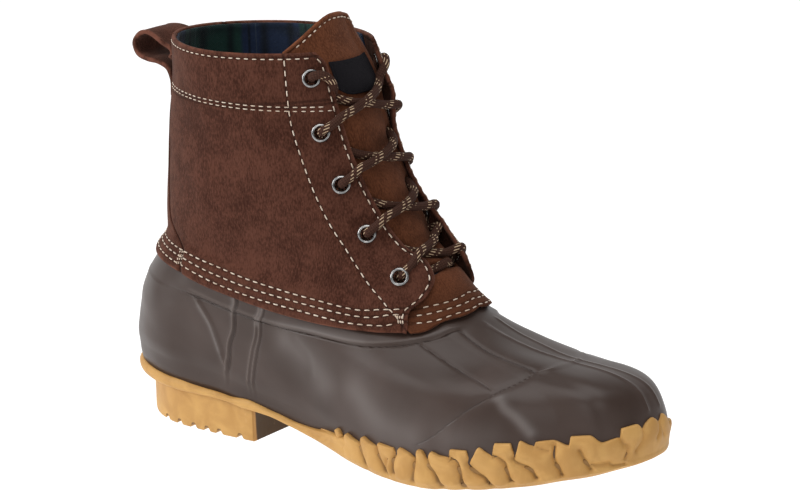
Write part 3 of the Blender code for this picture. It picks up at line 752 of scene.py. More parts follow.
def rubber_foot():
    """Outer wall up from the feather line, then the inner wall down, as one closed ring."""
    angles, shares = zip(*RUBBER_DEGREES)
    degrees = np.interp(np.arange(RUBBER_COLUMNS) / RUBBER_COLUMNS, shares, angles)[None]
    angle = folded(degrees)
    top = line_height(SUEDE_EDGE, degrees) + RUBBER_LAP
    t = np.linspace(0, 1, RUBBER_ROWS)[:, None] * top
    plain = over(degrees, t, -RUBBER_DEPTH)
    above = (t - line_height(STEP_LINE, degrees)) * mm_per_t(degrees, t)
    raised, fields = moulding(plain, angle, t, above)
    along = along_foot(degrees)
    lip = smooth_step(0.50, 0.36, along)
    skirt = RUBBER_SKIRT * lip * (1 - 0.7 * smooth_step(0.20, 0.30, along))
    full = LIP_FLARE * smooth_step(0.07, 0.0, t) * lip
    for height, grows, place in SWELLINGS:
        full += height * smooth_step(*grows, angle) * bell(t, *place)
    outside = rounded_toe(over(degrees, t, full - RUBBER_DEPTH), angle, t)
    outside += normal(degrees, t) * raised[..., None]
    low = plain[0, :, 2] - skirt[0]
    outside[0] = feather_outline(degrees[0], LIP_FLARE * lip[0] - RUBBER_DEPTH, low)
    inner_t = np.linspace(1, 0, INNER_ROWS)[:, None] * top
    inside = over(degrees, inner_t, -RUBBER_DEPTH - RUBBER_WALL)
    for name, values in fields.items():
        unmarked = np.full(inner_t.shape, 0.0 if name == "pale" else FAR)
        fields[name] = np.concatenate([values, unmarked])
    return np.concatenate([outside, inside]), fields


points, fields = rubber_foot()
add_piece(
    "rubber_foot", points, dark_rubber, ["rubber_lower"],
    ring=True, loop=True, fields=fields)

# %% [markdown]
# ## The outsole
# The tan sole is one moulding too. Behind the arch it shows as a plain lip over a notched heel
# block. Along the forefoot its tread wraps up the side as overlapping leaves and T-shaped stalks.
# The body is a stack of outlines joined into a skin. The leaves are one dense sheet laid over its
# side: the sheet's top edge follows their tips, and creases press it down between them.

# %% Tan rubber finish


def tan_finish():
    """Tan crepe-like rubber: matt, mottled, with painted shade in the creases and notches, under the
    lip, on the heel's breast and under the wrapped tread.
    """
    f = Finish("tan_rubber", IOR=1.48, Specular_IOR_Level=0.35)
    here = f.place()
    mottled = f.noise(here, 75.0, 5.0, 0.6)
    pebble = f.noise(here, 900.0, 4.0)
    deep = f.field("deep")
    colour = f.mix(mottled.step(0.32, 0.7), (0.475, 0.248, 0.068), (0.585, 0.328, 0.101))
    # Painted shade where the deep field is set: creases, notches, under the lip and under the wrap.
    colour = f.mix(deep.step(0.15, 1.0) * 0.85, colour, (0.14, 0.068, 0.019))
    # A darker painted shadow over the heel's breast.
    colour = f.mix(deep.step(1.2, 2.0) * 0.9, colour, (0.045, 0.024, 0.007))
    dusty = f.noise(here, 240.0, 3.0, 1.0).step(0.62, 0.8)
    colour = f.mix(dusty * 0.15, colour, (0.70, 0.47, 0.24))
    f.feed("Roughness", mottled * 0.2 + 0.46)
    return f.done(colour, pebble * 0.5 + mottled * 0.55, 0.16)


tan_rubber = tan_finish()

# %% Rows of the outsole's side
SOLE_COLUMNS = 560
SIDE_STEPS = 34
UNDER_STEPS = 14
FLOOR_STEPS = 4
FLOOR_INSET = 0.8
RIM_EDGE = (
    (0, 0.014), (60, 0.012), (80, 0.020), (92, 0.036), (106, 0.040), (130, 0.050),
    (150, 0.055), (180, 0.060),
)
WAIST = (0.14, 0.30, 0.42)
# How far the lip's top and its underside rise on their way round from the heel.
LIP_TOP = (
    (0.0, 0.0), (0.16, -0.4), (0.22, -1.1), (0.26, -0.2), (0.31, 2.3), (0.36, 1.9), (0.41, 0.8),
    (0.45, 0.0), (1.0, 0.0),
)
LIP_UNDER = ((0.0, 0.0), (0.28, 0.0), (0.32, 1.4), (0.36, 2.3), (0.40, 1.6), (0.46, 0.0), (1.0, 0.0))
FOREFOOT_BLEND = (0.36, 0.50)
CORE_BLEND = (0.50, 0.57)
CORE_INSET = 2.2
TREAD_START = 144.0
TREAD_PITCH = 15.5
TREAD_DEPTH = 2.2
# Each row down the side: how far out and how deep below the feather line at the lip, then how far
# out and what share of the way down to the ground at the forefoot.
SIDE_ROWS = (
    (2.5, 3.6, 2.6, 0.12), (3.1, 4.6, 2.7, 0.28), (3.2, 6.0, 2.4, 0.46), (2.7, 7.7, 1.6, 0.66),
    (1.2, 8.9, 0.2, 0.84), (-3.0, 9.3, -2.0, 0.95), (-6.5, 9.3, -5.0, 1.0),
)
# The rows over its top: how far out and how deep at the lip, then a share of the rim's t and two
# heights over the foot, the second one under the wrapped tread.
TOP_ROWS = (
    (2.0, 2.9, 0.6, 2.7, 1.1), (1.4, 2.5, 1.0, 2.0, 0.7),
    (0.5, 2.5, 1.05, 0.8, 0.3), (-1.0, 2.9, 1.02, -0.4, -0.4),
)


def centre_line(ring):
    """The line midway between the two sides of a ring."""
    other_side = np.concatenate([ring[:1], ring[:0:-1]])
    return (ring + other_side) / 2


def sole_rows(degrees, fore, core):
    """Rings of the sole's side, from the edge of its underside up to the edge of its rim."""
    along = along_foot(degrees)
    feather, under = sole_lines(along)
    thin = 1 - WAIST[2] * smooth_step(*WAIST[:2], along)
    rise, under_rise = (table_at(table, along) for table in (LIP_TOP, LIP_UNDER))
    waver = 0.25 * ripple(last_point(degrees, 0.0), 17, 8)
    rim = line_height(RIM_EDGE, degrees) + waver * 0.006
    side = []
    for out_lip, deep_lip, out_fore, down in SIDE_ROWS:
        out = blend(out_lip, out_fore, fore) + 0.5 * waver - CORE_INSET * core
        low = smooth_step(3.0, 8.0, deep_lip)
        lip = feather - deep_lip * thin + rise * (1 - low) + under_rise * low
        height = blend(lip, blend(feather, under, down), fore)
        side.insert(0, feather_outline(degrees, out, height))
    for out_lip, deep_lip, share, high, high_core in TOP_ROWS:
        height = feather - deep_lip * thin + rise + 0.6 * waver
        lip = feather_outline(degrees, out_lip + 0.5 * waver, height)
        wrap = over(degrees, rim * share, blend(high, high_core, core))
        side.append(blend(lip, wrap, fore[:, None]))
    columns = np.swapaxes(np.stack(side), 0, 1)
    return np.stack([curve_through(column, SIDE_STEPS) for column in columns], 1)


print("the side is a curve through", len(SIDE_ROWS) + len(TOP_ROWS), "outlines")

# %% Outsole body


def sole_body():
    """Rings from the middle of the underside, up round the side, to the middle of the inner floor."""
    degrees = np.arange(SOLE_COLUMNS) * 360 / SOLE_COLUMNS
    along = along_foot(degrees)
    fore = smooth_step(*FOREFOOT_BLEND, along)
    core = smooth_step(*CORE_BLEND, along)
    rows = sole_rows(degrees, fore, core)
    share = np.linspace(0, 1, UNDER_STEPS)[:-1, None, None]
    underside = blend(centre_line(rows[0]), rows[0], share)
    groove = np.mod(underside[..., 0] - TREAD_START, TREAD_PITCH) - 2.0
    wavy = 2.2 * np.sin(underside[..., 1] / 7.0)
    tread = bell(groove + wavy * 0.6, 0.0, 2.0) * smooth_step(140, 150, underside[..., 0])
    underside[..., 2] += TREAD_DEPTH * tread * smooth_step(0.92, 0.80, share[..., 0])
    floor_edge = feather_outline(degrees, -FLOOR_INSET, sole_lines(along)[0] - GAP)
    inward = np.linspace(0, 1, FLOOR_STEPS)[:, None, None]
    inner = blend(floor_edge, centre_line(floor_edge), inward)
    wall = np.linspace(1, 0, len(rows))[:, None]
    # Painted shade on the body under the wrapped tread, on the lip's underside and in the tread's
    # grooves.
    side_deep = 0.75 * core + (1 - fore) * 0.4 * smooth_step(0.62, 0.85, wall)
    deep = np.concatenate([0.45 * tread, side_deep, np.zeros(inner.shape[:2])])
    return np.concatenate([underside, rows, inner]), {"deep": deep}


points, fields = sole_body()
add_piece(
    "outsole_body", points, tan_rubber, ["outsole"],
    ring=True, weld=True, fields=fields)

# %% Heel block
HEEL_CORNER = 67.2
HEEL_INSET = (4.8, -0.2)
HEEL_IN_LIP = 3.6
HEEL_COLUMNS = 421
BREAST_COLUMNS = 60
# Each ring up the block: how far it is drawn in, a height, and a share of the way up to the lip.
HEEL_RINGS = (
    (4.0, 0.0, 0.0), (0.6, 0.0, 0.0), (0.25, 0.25, 0.0), (0.12, 0.8, 0.0), (0.05, 2.0, 0.0),
    (0.0, 3.4, 0.0), (0.0, 3.0, 0.3), (0.0, 2.0, 0.6), (0.0, 1.0, 0.85), (0.0, 0.0, 1.0),
)
HEEL_NOTCHES = (20.6, 31.6, 42.1, 51.6, 60.2, 74.1)
HEEL_NOTCH = (1.8, 2.4)
BREAST_HOLLOW = 2.0
BREAST_SHADE = 2.0


def heel_block():
    """The heel's outline, drawn in at the ground, up into the lip, with notches across its tread."""
    degrees = np.linspace(-HEEL_CORNER, HEEL_CORNER, HEEL_COLUMNS)
    along = along_foot(degrees)
    inset = blend(*HEEL_INSET, smooth_step(0, 0.25, along))
    top = sole_lines(along)[0] - HEEL_IN_LIP
    across = np.linspace(0, 1, BREAST_COLUMNS + 2)[1:-1, None]
    rings = []
    for draw, low, share in HEEL_RINGS:
        curve = feather_outline(degrees, -inset - draw, blend(low, top, share))
        breast = blend(curve[-1], curve[0], across)
        hollow = smooth_step(-2, 12, breast[:, 2]) * (1 - (2 * across[:, 0] - 1) ** 2)
        breast[:, 0] -= BREAST_HOLLOW * hollow
        rings.append(np.concatenate([curve, breast]))
    rings = np.stack(rings)
    up = rings[..., 2] / np.concatenate([top, np.full(len(across), top[0])])
    half = HEEL_COLUMNS // 2
    middle, roof = (
        np.roll(centre_line(np.roll(ring, -half, 0)), half, 0) for ring in (rings[0], rings[-1]))
    rings = np.concatenate([middle[None], rings, roof[None]])
    up = np.concatenate([up[:1], up, up[-1:]])
    notch = np.zeros(rings.shape[:2])
    for place in HEEL_NOTCHES:
        away = (rings[..., 0] - place) / HEEL_NOTCH[0]
        notch = np.maximum(notch, np.exp(-away ** 4))
    low = smooth_step(4.0, 0.0, rings[..., 2])
    rings[..., 2] += HEEL_NOTCH[1] * notch * low
    # Painted shade in the notches and under the lip, and a painted shadow over the breast.
    deep = notch * low + 0.45 * smooth_step(0.6, 0.9, up)
    deep[1:-1, HEEL_COLUMNS + 2:-2] += BREAST_SHADE
    return rings, {"deep": deep}


points, fields = heel_block()
add_piece("heel_block", points, tan_rubber, ring=True, weld=True, fields=fields)

# %% Outline and creases of the wrapped tread
# The wrap's outlines up the side: how far out, the share of the way up from the ground, and a rise.
WRAP_SIDE = ((-4.0, 0.0, 0.0), (-0.6, 0.0, 0.6), (1.6, 0.22, 0.8), (2.9, 0.5, 0.0), (3.3, 0.8, 0.0))
# Then over the rubber: the height t on the last, and the height over it.
WRAP_OVER = ((0.02, 2.9), (0.05, 2.4), (0.09, 1.9), (0.13, 1.6), (0.17, 1.4), (0.21, 1.3))
# Each leaf of the top edge, as degrees and outline number: the valley before it and its two shoulders.
LEAVES = (
    ((84.0, 5.2), (87.0, 5.4), (88.9, 5.5)), ((89.6, 5.5), (89.9, 6.5), (90.6, 6.5)),
    ((91.4, 5.6), (92.6, 6.45), (94.4, 6.15)), ((96.0, 6.0), (97.0, 6.95), (98.8, 6.65)),
    ((100.6, 6.45), (101.1, 6.95), (104.9, 6.9)), ((105.4, 6.3), (106.4, 7.1), (108.5, 6.75)),
    ((110.0, 6.3), (110.6, 7.3), (111.5, 7.25)), ((112.6, 6.4), (113.6, 7.3), (115.8, 7.0)),
    ((117.6, 6.95), (118.0, 7.8), (121.5, 7.8)), ((122.2, 6.8), (124.3, 8.1), (126.1, 7.65)),
    ((127.1, 7.45), (127.9, 8.45), (131.4, 8.45)), ((132.2, 7.35), (133.6, 8.6), (135.8, 8.3)),
    ((136.8, 8.25), (137.3, 8.5), (141.2, 8.55)), ((145.6, 8.08), (146.2, 8.7), (151.6, 8.65)),
    ((155.6, 8.0), (158.6, 8.13), (161.2, 8.2)), ((161.6, 8.2), (162.4, 8.8), (168.6, 8.87)),
    ((171.2, 8.5), (173.0, 8.75), (176.8, 9.0)), ((179.0, 8.68), (179.6, 8.6), (180.0, 8.58)),
)
# Each crease: its depth, and its places as degrees and outline number, from the top edge down.
CREASES = (
    (1.0, ((91.3, 5.9), (91.0, 5.2), (90.9, 4.4), (91.0, 3.4))),
    (0.7, ((89.4, 5.7), (89.6, 5.0), (89.9, 4.2))),
    (1.0, ((96.0, 6.1), (96.4, 5.4), (96.6, 4.7), (97.2, 3.9), (97.5, 2.6))),
    (1.0, ((100.6, 6.5), (100.8, 6.0), (101.6, 4.8), (102.4, 4.0), (102.9, 2.6))),
    (0.9, ((105.4, 6.4), (104.8, 5.6), (104.6, 4.6), (104.8, 3.4))),
    (0.4, ((103.4, 5.5), (103.0, 4.3), (103.2, 3.0))),
    (0.8, ((110.0, 6.4), (109.8, 5.5), (109.6, 4.1), (109.2, 2.2))),
    (1.0, ((112.6, 6.5), (113.4, 5.5), (115.0, 4.1), (115.8, 1.8))),
    (1.0, ((117.7, 7.0), (119.4, 6.6), (120.1, 5.6), (120.6, 3.9), (121.0, 1.7))),
    (1.0, ((122.2, 6.9), (122.0, 6.5), (122.4, 6.2), (124.6, 5.0), (126.4, 4.2), (127.4, 2.2))),
    (1.0, ((127.2, 7.5), (128.6, 7.25), (130.2, 6.7), (130.8, 5.8), (132.4, 3.2))),
    (1.0, ((132.2, 7.4), (132.0, 7.1), (133.0, 6.7), (136.2, 5.8), (138.2, 4.0))),
    (0.5, ((136.8, 8.25), (138.6, 8.0), (140.4, 7.75))),
    (0.9, ((141.8, 8.2), (141.6, 7.5), (142.0, 6.6), (143.6, 5.4), (144.8, 4.0))),
    (0.8, ((148.4, 7.6), (149.6, 6.8), (151.4, 5.6), (153.0, 4.4))),
    (0.5, ((152.8, 5.3), (155.8, 5.2), (158.4, 5.2), (160.4, 4.4), (164.4, 4.0))),
    (0.5, ((161.4, 8.2), (162.8, 7.5), (164.4, 7.2), (164.2, 5.4))),
    (0.4, ((171.2, 8.6), (171.2, 8.0), (170.4, 7.4), (168.0, 6.4))),
    (0.3, ((180.0, 8.6), (179.4, 8.0), (178.0, 7.2))),
)


def wrap_point(degrees, row):
    """A point of the wrap: a smooth curve through its outlines, at an outline number."""
    feather, under = sole_lines(along_foot(degrees))
    rings = [
        feather_outline(degrees, out, blend(under, feather, share) + rise)
        for out, share, rise in WRAP_SIDE
    ]
    rings = np.stack(rings + [over(degrees, t, high) for t, high in WRAP_OVER])
    low = np.clip(row.astype(int), 0, len(rings) - 2)
    before, here, there, after = (
        np.take_along_axis(rings, np.clip(low + k, 0, len(rings) - 1)[None, ..., None], 0)[0]
        for k in (-1, 0, 1, 2)
    )
    q = (row - low)[..., None]
    bend = 2 * before - 5 * here + 4 * there - after + q * (3 * (here - there) + after - before)
    return here + 0.5 * q * (there - before + q * bend)


print("wrapped tread:", len(LEAVES), "leaves and", len(CREASES), "creases on each side")

# %% Wrapped tread of the forefoot
WRAP_START = (85.0, 90.0)
WRAP_COLUMNS = 900
WRAP_ROWS = 48
INNER_LOWER = 1.0
START_SINK = 2.6
TREAD_WALL = 1.5
CREASE_POINTS = 22
ROW_MM = 3.6
DOME = (1.2, 3.2)
CREASE_DEPTH = 1.6
CREASE_WIDTH = (0.9, 1.6)
# Rows past the top edge: outline numbers further up, and how far down towards the rubber.
WRAP_EDGE = ((0.05, 0.7), (0.06, 1.6), (0.06, 3.0))


def wrapped_tread():
    """Domed leaves between creases: the sheet sinks by its distance from the nearest crease."""
    degrees = np.linspace(WRAP_START[0], 360 - WRAP_START[0], WRAP_COLUMNS)[None]
    angle = folded(degrees)
    top = table_at(np.reshape(LEAVES, (-1, 2)), angle) - INNER_LOWER * smooth_step(182, 190, degrees)
    row = np.linspace(0, 1, WRAP_ROWS)[:, None] * top
    extra = np.array(WRAP_EDGE)[:, :, None]
    row = np.concatenate([row, top + extra[:, 0]])
    base = wrap_point(degrees + 0 * row, row)
    flat = base[:WRAP_ROWS]
    outward = unit(np.cross(np.gradient(flat, axis=1), np.gradient(flat, axis=0)))
    outward = np.concatenate([outward, np.repeat(outward[-1:], len(WRAP_EDGE), 0)])
    wide = blend(*CREASE_WIDTH, smooth_step(5.0, 2.5, row))
    crease = np.zeros(row.shape)
    away = np.full(row.shape, FAR)
    for depth, places in CREASES:
        line_degrees, line_row = curve_through(places, CREASE_POINTS, even=True).T
        for side in (1, -1):
            distance = line_distance(base, wrap_point(mirrored(line_degrees, side), line_row))
            crease = np.maximum(crease, depth * bell(distance, 0.0, wide))
            away = np.minimum(away, distance + 2 * (1 - depth))
    to_edge = (top - row) * ROW_MM
    sink = DOME[0] * bell(away, 0.0, DOME[1]) + CREASE_DEPTH * crease + 0.3 * bell(to_edge, 0.0, 0.7)
    sink[WRAP_ROWS:] += extra[:, 1]
    sink += START_SINK * smooth_step(WRAP_START[1], WRAP_START[0], angle)
    sink -= 0.15 * ripple(base, 11, 9)
    # Painted shade in the creases, towards the ground, and on the rows past the top edge.
    deep = crease * (0.65 + 0.35 * smooth_step(5.6, 3.4, row)) + 0.2 * smooth_step(2.6, 0.4, row)
    deep[WRAP_ROWS:] += 0.4
    return base - outward * sink[..., None], {"deep": deep}


points, fields = wrapped_tread()
add_piece("wrapped_tread", points, tan_rubber, wall=TREAD_WALL, fields=fields)

# %% [markdown]
# ## The suede shaft
# The shaft is cut from a few panels and lapped over the rubber. One grid carries it from flap to
# flap round the heel. The grid is stretched so that its sides follow the flaps' curved front edges.
# Walking along its rows and columns gives each point's distance from every edge, in millimetres:
# those are the fields that the stitch rows and worn edges in the suede finish read.

# %% Lines on the suede
EYELETS = ((143.0, 0.963), (141.0, 0.883), (142.0, 0.793), (143.5, 0.700), (147.0, 0.605))
EYESTAY = (
    (0.44, 128.5), (0.50, 131), (0.54, 132), (0.593, 131.5), (0.667, 130.3), (0.72, 128.5),
    (0.777, 127.5), (0.843, 127), (0.893, 126.5), (0.932, 127.5), (1.0, 130.5),
)
BACKSTAY = (
    (0.44, 54), (0.57, 52), (0.585, 50.8), (0.62, 44.6), (0.647, 40.2), (0.661, 38), (0.68, 36),
    (0.72, 35), (0.80, 34.5), (0.88, 33.5), (1.0, 30),
)
BAND_TOP = (
    (0, 0.583), (51, 0.570), (68.5, 0.552), (82.5, 0.530), (95.5, 0.517), (108, 0.505),
    (120, 0.491), (130, 0.495), (144, 0.515), (152, 0.525), (171, 0.540), (180, 0.546),
)
BAND_BOTTOM = (
    (0, 0.520), (53, 0.505), (70, 0.473), (85, 0.459), (98, 0.455), (112.5, 0.446),
    (122, 0.449), (129, 0.458), (140, 0.470), (161, 0.500), (180, 0.512),
)
FLAP_LIFT = 1.0
BACK_LIFT = ((0.44, 0.0), (0.60, 0.2), (0.68, 1.2), (0.80, 0.9), (0.90, 0.1), (1.0, -0.3))
INNER_LIFT = (
    (0.44, 0.0), (0.52, 0.2), (0.57, 1.0), (0.60, 2.6), (0.64, 5.0), (0.675, 5.4), (0.71, 3.4),
    (0.75, 1.2), (0.80, 0.0), (0.86, 0.0), (0.90, 2.6), (0.92, 4.0), (0.95, 2.2), (1.0, 0.5),
)
SIDES = {1: "outer", -1: "inner"}
print("eyelets on each side:", len(EYELETS))

# %% Heights of the suede layers


def tongue_inside(t):
    """Inner face of the tongue: over the rubber at its base, inside the flaps above."""
    return TONGUE_BASE_GAP - (SUEDE_WALL + GAP + TONGUE_BASE_GAP) * smooth_step(*TONGUE_DIVE, t)


def inner_lift(degrees, t):
    """How far the inner flap stands off, at its edge and behind it."""
    inner = np.mod(degrees, 360) > 180
    return table_at(INNER_LIFT, t) * smooth_step(136, 155, folded(degrees)) * inner


def shaft_height(degrees, t):
    """Outer face of the shaft: the wall, its rise over the tongue, panel edges and soft creases."""
    angle = folded(degrees)
    lift = FLAP_EASE * (tongue_inside(t) + SUEDE_WALL + GAP) * smooth_step(*FLAP_RISE, angle)
    lift = lift * (1 - 0.7 * smooth_step(0.475, 0.445, t))
    free = smooth_step(150, 158, angle) * smooth_step(0.60, 0.66, t) * (np.mod(degrees, 360) < 180)
    panel = -1.0 * bell(angle - table_at(BACKSTAY, t), -0.8, 0.9)
    seat = last_point(degrees, t)
    soft = 0.35 * ripple(seat, 46, 11) + 0.12 * ripple(seat, 17, 12)
    calm = smooth_step(0.50, 0.62, t) * smooth_step(1.0, 0.93, t)
    fold = bell(t, 0.60 + 0.03 * np.sin(np.radians(3 * angle)), 0.022)
    ankle = -0.7 * fold * smooth_step(20, 50, angle) * smooth_step(118, 95, angle)
    back = table_at(BACK_LIFT, t) * smooth_step(60, 20, angle)
    lift = lift + FLAP_LIFT * free + inner_lift(degrees, t)
    return SUEDE_WALL + lift + panel + back + (soft + ankle) * calm


def band_lines(degrees):
    """Heights t of the band's lowest and highest stitch rows."""
    return [line_height(table, degrees) for table in (BAND_BOTTOM, BAND_TOP)]


def band_level(degrees, row):
    """Height t of a stitch row in the band, at its distance in millimetres over the lowest row."""
    low, high = band_lines(degrees)
    return blend(low, high, row / BAND_ROWS[-1])


def band_field(degrees, t):
    """Millimetres over the band's lowest stitch row."""
    low, high = band_lines(degrees)
    return (t - low) / (high - low) * BAND_ROWS[-1]


def eyelet_frame(number, side):
    """Centre of an eyelet's hole on the flap, and the way it faces."""
    degrees, t = EYELETS[number]
    angle = mirrored(degrees, side)
    return over(angle, t, shaft_height(angle, t)), normal(angle, t)


EYELET_FRAMES = {(n, side): eyelet_frame(n, side) for n in range(len(EYELETS)) for side in SIDES}
print("highest outer eyelet at", EYELET_FRAMES[0, 1][0].round(1))

# %% Shaft
SHAFT_COLUMNS = (150, 56)
SHAFT_ROWS_UP = 104
PLAIN_ANGLE = 100.0
HOLE_RADIUS = 3.9
SHAFT_WALL = 1.9


def shaft_grid():
    """Angles and heights of the shaft's grid: even round the heel, then stretched to the flap's edge."""
    round_heel, to_edge = SHAFT_COLUMNS
    even = np.linspace(0, PLAIN_ANGLE, round_heel)[:-1]
    half = np.concatenate([even, np.full(to_edge, PLAIN_ANGLE)])
    flap = np.concatenate([np.zeros(round_heel - 1), np.linspace(0, 1, to_edge)])
    sign = np.concatenate([-np.ones(len(half) - 1), np.ones(len(half))])
    half, flap = (np.concatenate([values[:0:-1], values]) for values in (half, flap))
    v = np.linspace(0, 1, SHAFT_ROWS_UP)[:, None]
    corner_t, corner = FLAP_EDGE[0]
    edge = flap_edge(blend(corner_t, 1, v))
    angle = half + (edge - PLAIN_ANGLE) * flap
    bottom = line_height(SUEDE_EDGE, np.minimum(angle, corner))
    return sign * angle, blend(bottom, 1, v)


def shaft():
    """The shaft's outer face, pressed in along its stitch rows, with a hole for each eyelet."""
    degrees, t = shaft_grid()
    height = shaft_height(degrees, t)
    plain = over(degrees, t, height)
    up, collar, flap = edge_distances(plain)
    per_degree = mm_per_degree(degrees, t)
    fields = {
        "band": band_field(degrees, t),
        "collar": collar,
        "flap": flap,
        "eyestay": (np.abs(degrees) - table_at(EYESTAY, t)) * per_degree,
        "backstay": (np.abs(degrees) - table_at(BACKSTAY, t)) * per_degree,
        "edge": np.minimum.reduce([up, collar, flap]),
    }
    hole = np.full(t.shape, np.inf)
    for centre, _ in EYELET_FRAMES.values():
        hole = np.minimum(hole, np.linalg.norm(plain - centre, axis=-1))
    rows = [bell(fields[f], row, 0.9) for f, places in SHAFT_ROWS.items() for row in places]
    press = 0.25 * np.maximum.reduce(rows) + 0.5 * bell(hole, 5.2, 1.6)
    points = over(degrees, t, height - press - 0.5 * bell(fields["edge"], 0.0, 0.9))
    faces = quads(*t.shape)
    keep = hole.ravel()[faces].max(1) > HOLE_RADIUS
    return points, faces[keep], fields


points, faces, fields = shaft()
add_piece(
    "suede_shaft", points, shaft_suede, ["shaft"],
    faces=faces, wall=SHAFT_WALL, fields=fields)

# %% [markdown]
# ## The lace
# One round braided lace starts as a bar between the lowest eyelets and criss-crosses upwards. Each
# half comes out of an eyelet, runs over its own flap's edge, crosses the tongue and goes in under
# the other flap to the next eyelet. Its route is a short list of places over the last; a smooth
# curve through them is walked in equal steps, and a braided tube is wrapped round it.

# %% Lace route
LACE_RADIUS = 2.3
LACE_STEP = 0.5
LACE_POINTS = 2400
LACE_AROUND = 20
BAR_T = 0.622
# Shares of the climb to the next eyelet: where the lace leaves its flap, half way, and where it
# goes in under the next flap.
LACE_CLIMB = {1: (0.30, 0.54, 0.72), -1: (0.22, 0.44, 0.62)}
LOWEST_CLIMB = {1: (0.55, 0.68, 0.78), -1: (0.30, 0.50, 0.66)}
# The way up through an eyelet, as degrees and t on from it and a height: from the bar or from a
# crossing, then through the hole.
FROM_BAR = (6.5, 0.0, -2.6)
FROM_CROSSING = (3.0, -0.022, -2.9)
THROUGH = ((0.4, -0.001, 0.4), (1.0, 0.003, 3.6))
# Its end at the top eyelet: over the flap's edge and down behind it.
LACE_END = ((6.0, 0.004, 5.2), (9.6, -0.002, 5.0), (12.6, -0.014, 1.6), (12.4, -0.028, -2.9))
BAR_PRESS = 0.4
INNER_PRESS = 1.7
OVER_UNDER = 1.1


def crossing(leave, arrive, side):
    """Shares of the way to the next eyelet, with heights: over a flap, across, and under the next."""
    on_top = SUEDE_WALL + LACE_RADIUS - INNER_PRESS * (side < 0)
    high = OVER_UNDER * side
    return (
        (0.45 * leave, on_top + 0.1), (0.95 * leave, on_top + 0.9),
        (leave + 0.35 * (0.5 - leave), 3.0 + 0.5 * high), (0.5, 1.4 + high),
        (0.5 + 0.72 * (arrive - 0.5), -0.4 + 0.3 * high), (arrive + 0.03, -2.3),
    )


def lace_places(side):
    """Places of half a lace as degrees, t and height: the bar, then each eyelet and crossing."""
    lowest = len(EYELETS) - 1
    places = [(180.0, BAR_T, tongue_inside(BAR_T) + SUEDE_WALL + LACE_RADIUS - BAR_PRESS)]
    for n in range(lowest, -1, -1):
        degrees, t = EYELETS[n]
        lift = inner_lift(mirrored(degrees, side), t)
        for turn, climb, height in (FROM_BAR if n == lowest else FROM_CROSSING, *THROUGH):
            places.append((mirrored(degrees + turn, side), t + climb, lift + height))
        if n == 0:
            for turn, climb, height in LACE_END:
                places.append((mirrored(degrees + turn, side), t + climb, height))
            break
        next_degrees, next_t = EYELETS[n - 1]
        span = 360 - next_degrees - degrees
        run = np.linspace(0, 1, 200)
        edge = flap_edge(t + run * (next_t - t))
        leave = run[np.argmax(degrees + run * span > edge)]
        arrive = run[np.argmax(360 - (degrees + run * span) < edge)]
        climbs = (LOWEST_CLIMB if n == lowest else LACE_CLIMB)[side]
        for share, height in crossing(leave, arrive, side):
            place = mirrored(degrees + share * span, side)
            level = t + np.interp(share, (0, leave, 0.5, arrive, 1), (0, *climbs, 1)) * (next_t - t)
            on_flap = share < leave or share > arrive
            places.append((place, level, height + inner_lift(place, level) * on_flap))
        side = -side
    return np.array(places)


def lace_line(side):
    """The half lace's middle line in millimetres, in equal steps."""
    places = over(*lace_places(side).T)
    return even_steps(curve_through(places, LACE_POINTS), LACE_STEP)


LACE_LINES = [lace_line(side) for side in SIDES]
print("lace: each half is", [round(float(gone[-1])) for _, gone in LACE_LINES], "mm")

# %% Lace finish


def lace_finish():
    """Dark brown braid; pairs of pale threads surface in slanted groups."""
    f = Finish("lace_cord", Roughness=0.85, Specular_IOR_Level=0.15)
    run, turn = f.cloth()
    weave = ((run * 2.9 + turn * 37.7).wave() * (run * 2.9 - turn * 37.7).wave()) * 0.5 + 0.5
    fuzz = f.noise(f.place(), 1900.0, 3.0)
    colour = f.mix(weave * 0.6 + fuzz * 0.4, (0.022, 0.009, 0.006), (0.080, 0.034, 0.022))
    slant = (run * 0.6 - turn * 56.549).wave().step(0.45, 0.75)
    dash = (run * 1.25 + turn * 12.566).wave().step(-0.45, -0.2)
    group = (run * 0.40 + turn * 6.283).wave().step(0.0, 0.15)
    colour = f.mix(slant * dash * group * 0.95, colour, (0.62, 0.45, 0.29))
    return f.done(colour, weave + fuzz * 0.6, 0.25)


lace_cord = lace_finish()

# %% Lace tube


def frames_along(line):
    """Two directions square to a line, carried along it with the least twist."""
    ahead = unit(np.gradient(line, axis=0))
    side = np.empty_like(line)
    side[0] = unit(np.cross(ahead[0], (0.3, 0.1, 1.0)))
    for k in range(1, len(line)):
        side[k] = unit(side[k - 1] - ahead[k] * (side[k - 1] @ ahead[k]))
    return side, np.cross(ahead, side)


def lace_tube(line, gone):
    """A tube whose skin swells where two braided strands pass over each other."""
    side, up = frames_along(line)
    turn = np.arange(LACE_AROUND + 1) * 2 * np.pi / LACE_AROUND
    braid = np.cos(6 * turn + 2.9 * gone[:, None]) * np.cos(6 * turn - 2.9 * gone[:, None])
    radius = LACE_RADIUS * (0.97 + 0.05 * braid)
    radius[0] = radius[-1] = 0.0
    points = line[:, None] + radius[..., None] * (
        np.cos(turn)[None, :, None] * side[:, None] + np.sin(turn)[None, :, None] * up[:, None])
    uv = np.stack(np.broadcast_arrays(gone[:, None], turn[None] / (2 * np.pi)), -1)
    return points, uv


tubes = [lace_tube(*line) for line in LACE_LINES]
faces = [quads(*tube.shape[:2]) for tube, _ in tubes]
faces[1] = faces[1] + len(tubes[0][0]) * (LACE_AROUND + 1)
add_piece(
    "lace", np.concatenate([tube for tube, _ in tubes]), lace_cord,
    ["lace_cross_1", "lace_cross_2", "lace_cross_3", "lace_cross_4", "lace_bar"],
    faces=np.concatenate(faces), weld=True, uv=np.concatenate([uv for _, uv in tubes]))

# %% [markdown]
# ## The tongue
# The tongue is a plain padded panel of redder suede. It is sewn over the rubber at its base, dives
# behind the flaps and stands up in a peak at the collar. It is soft, so it gives way under the lace:
# every point nearer to the lace than its radius is pushed back, and the parts between bulge.

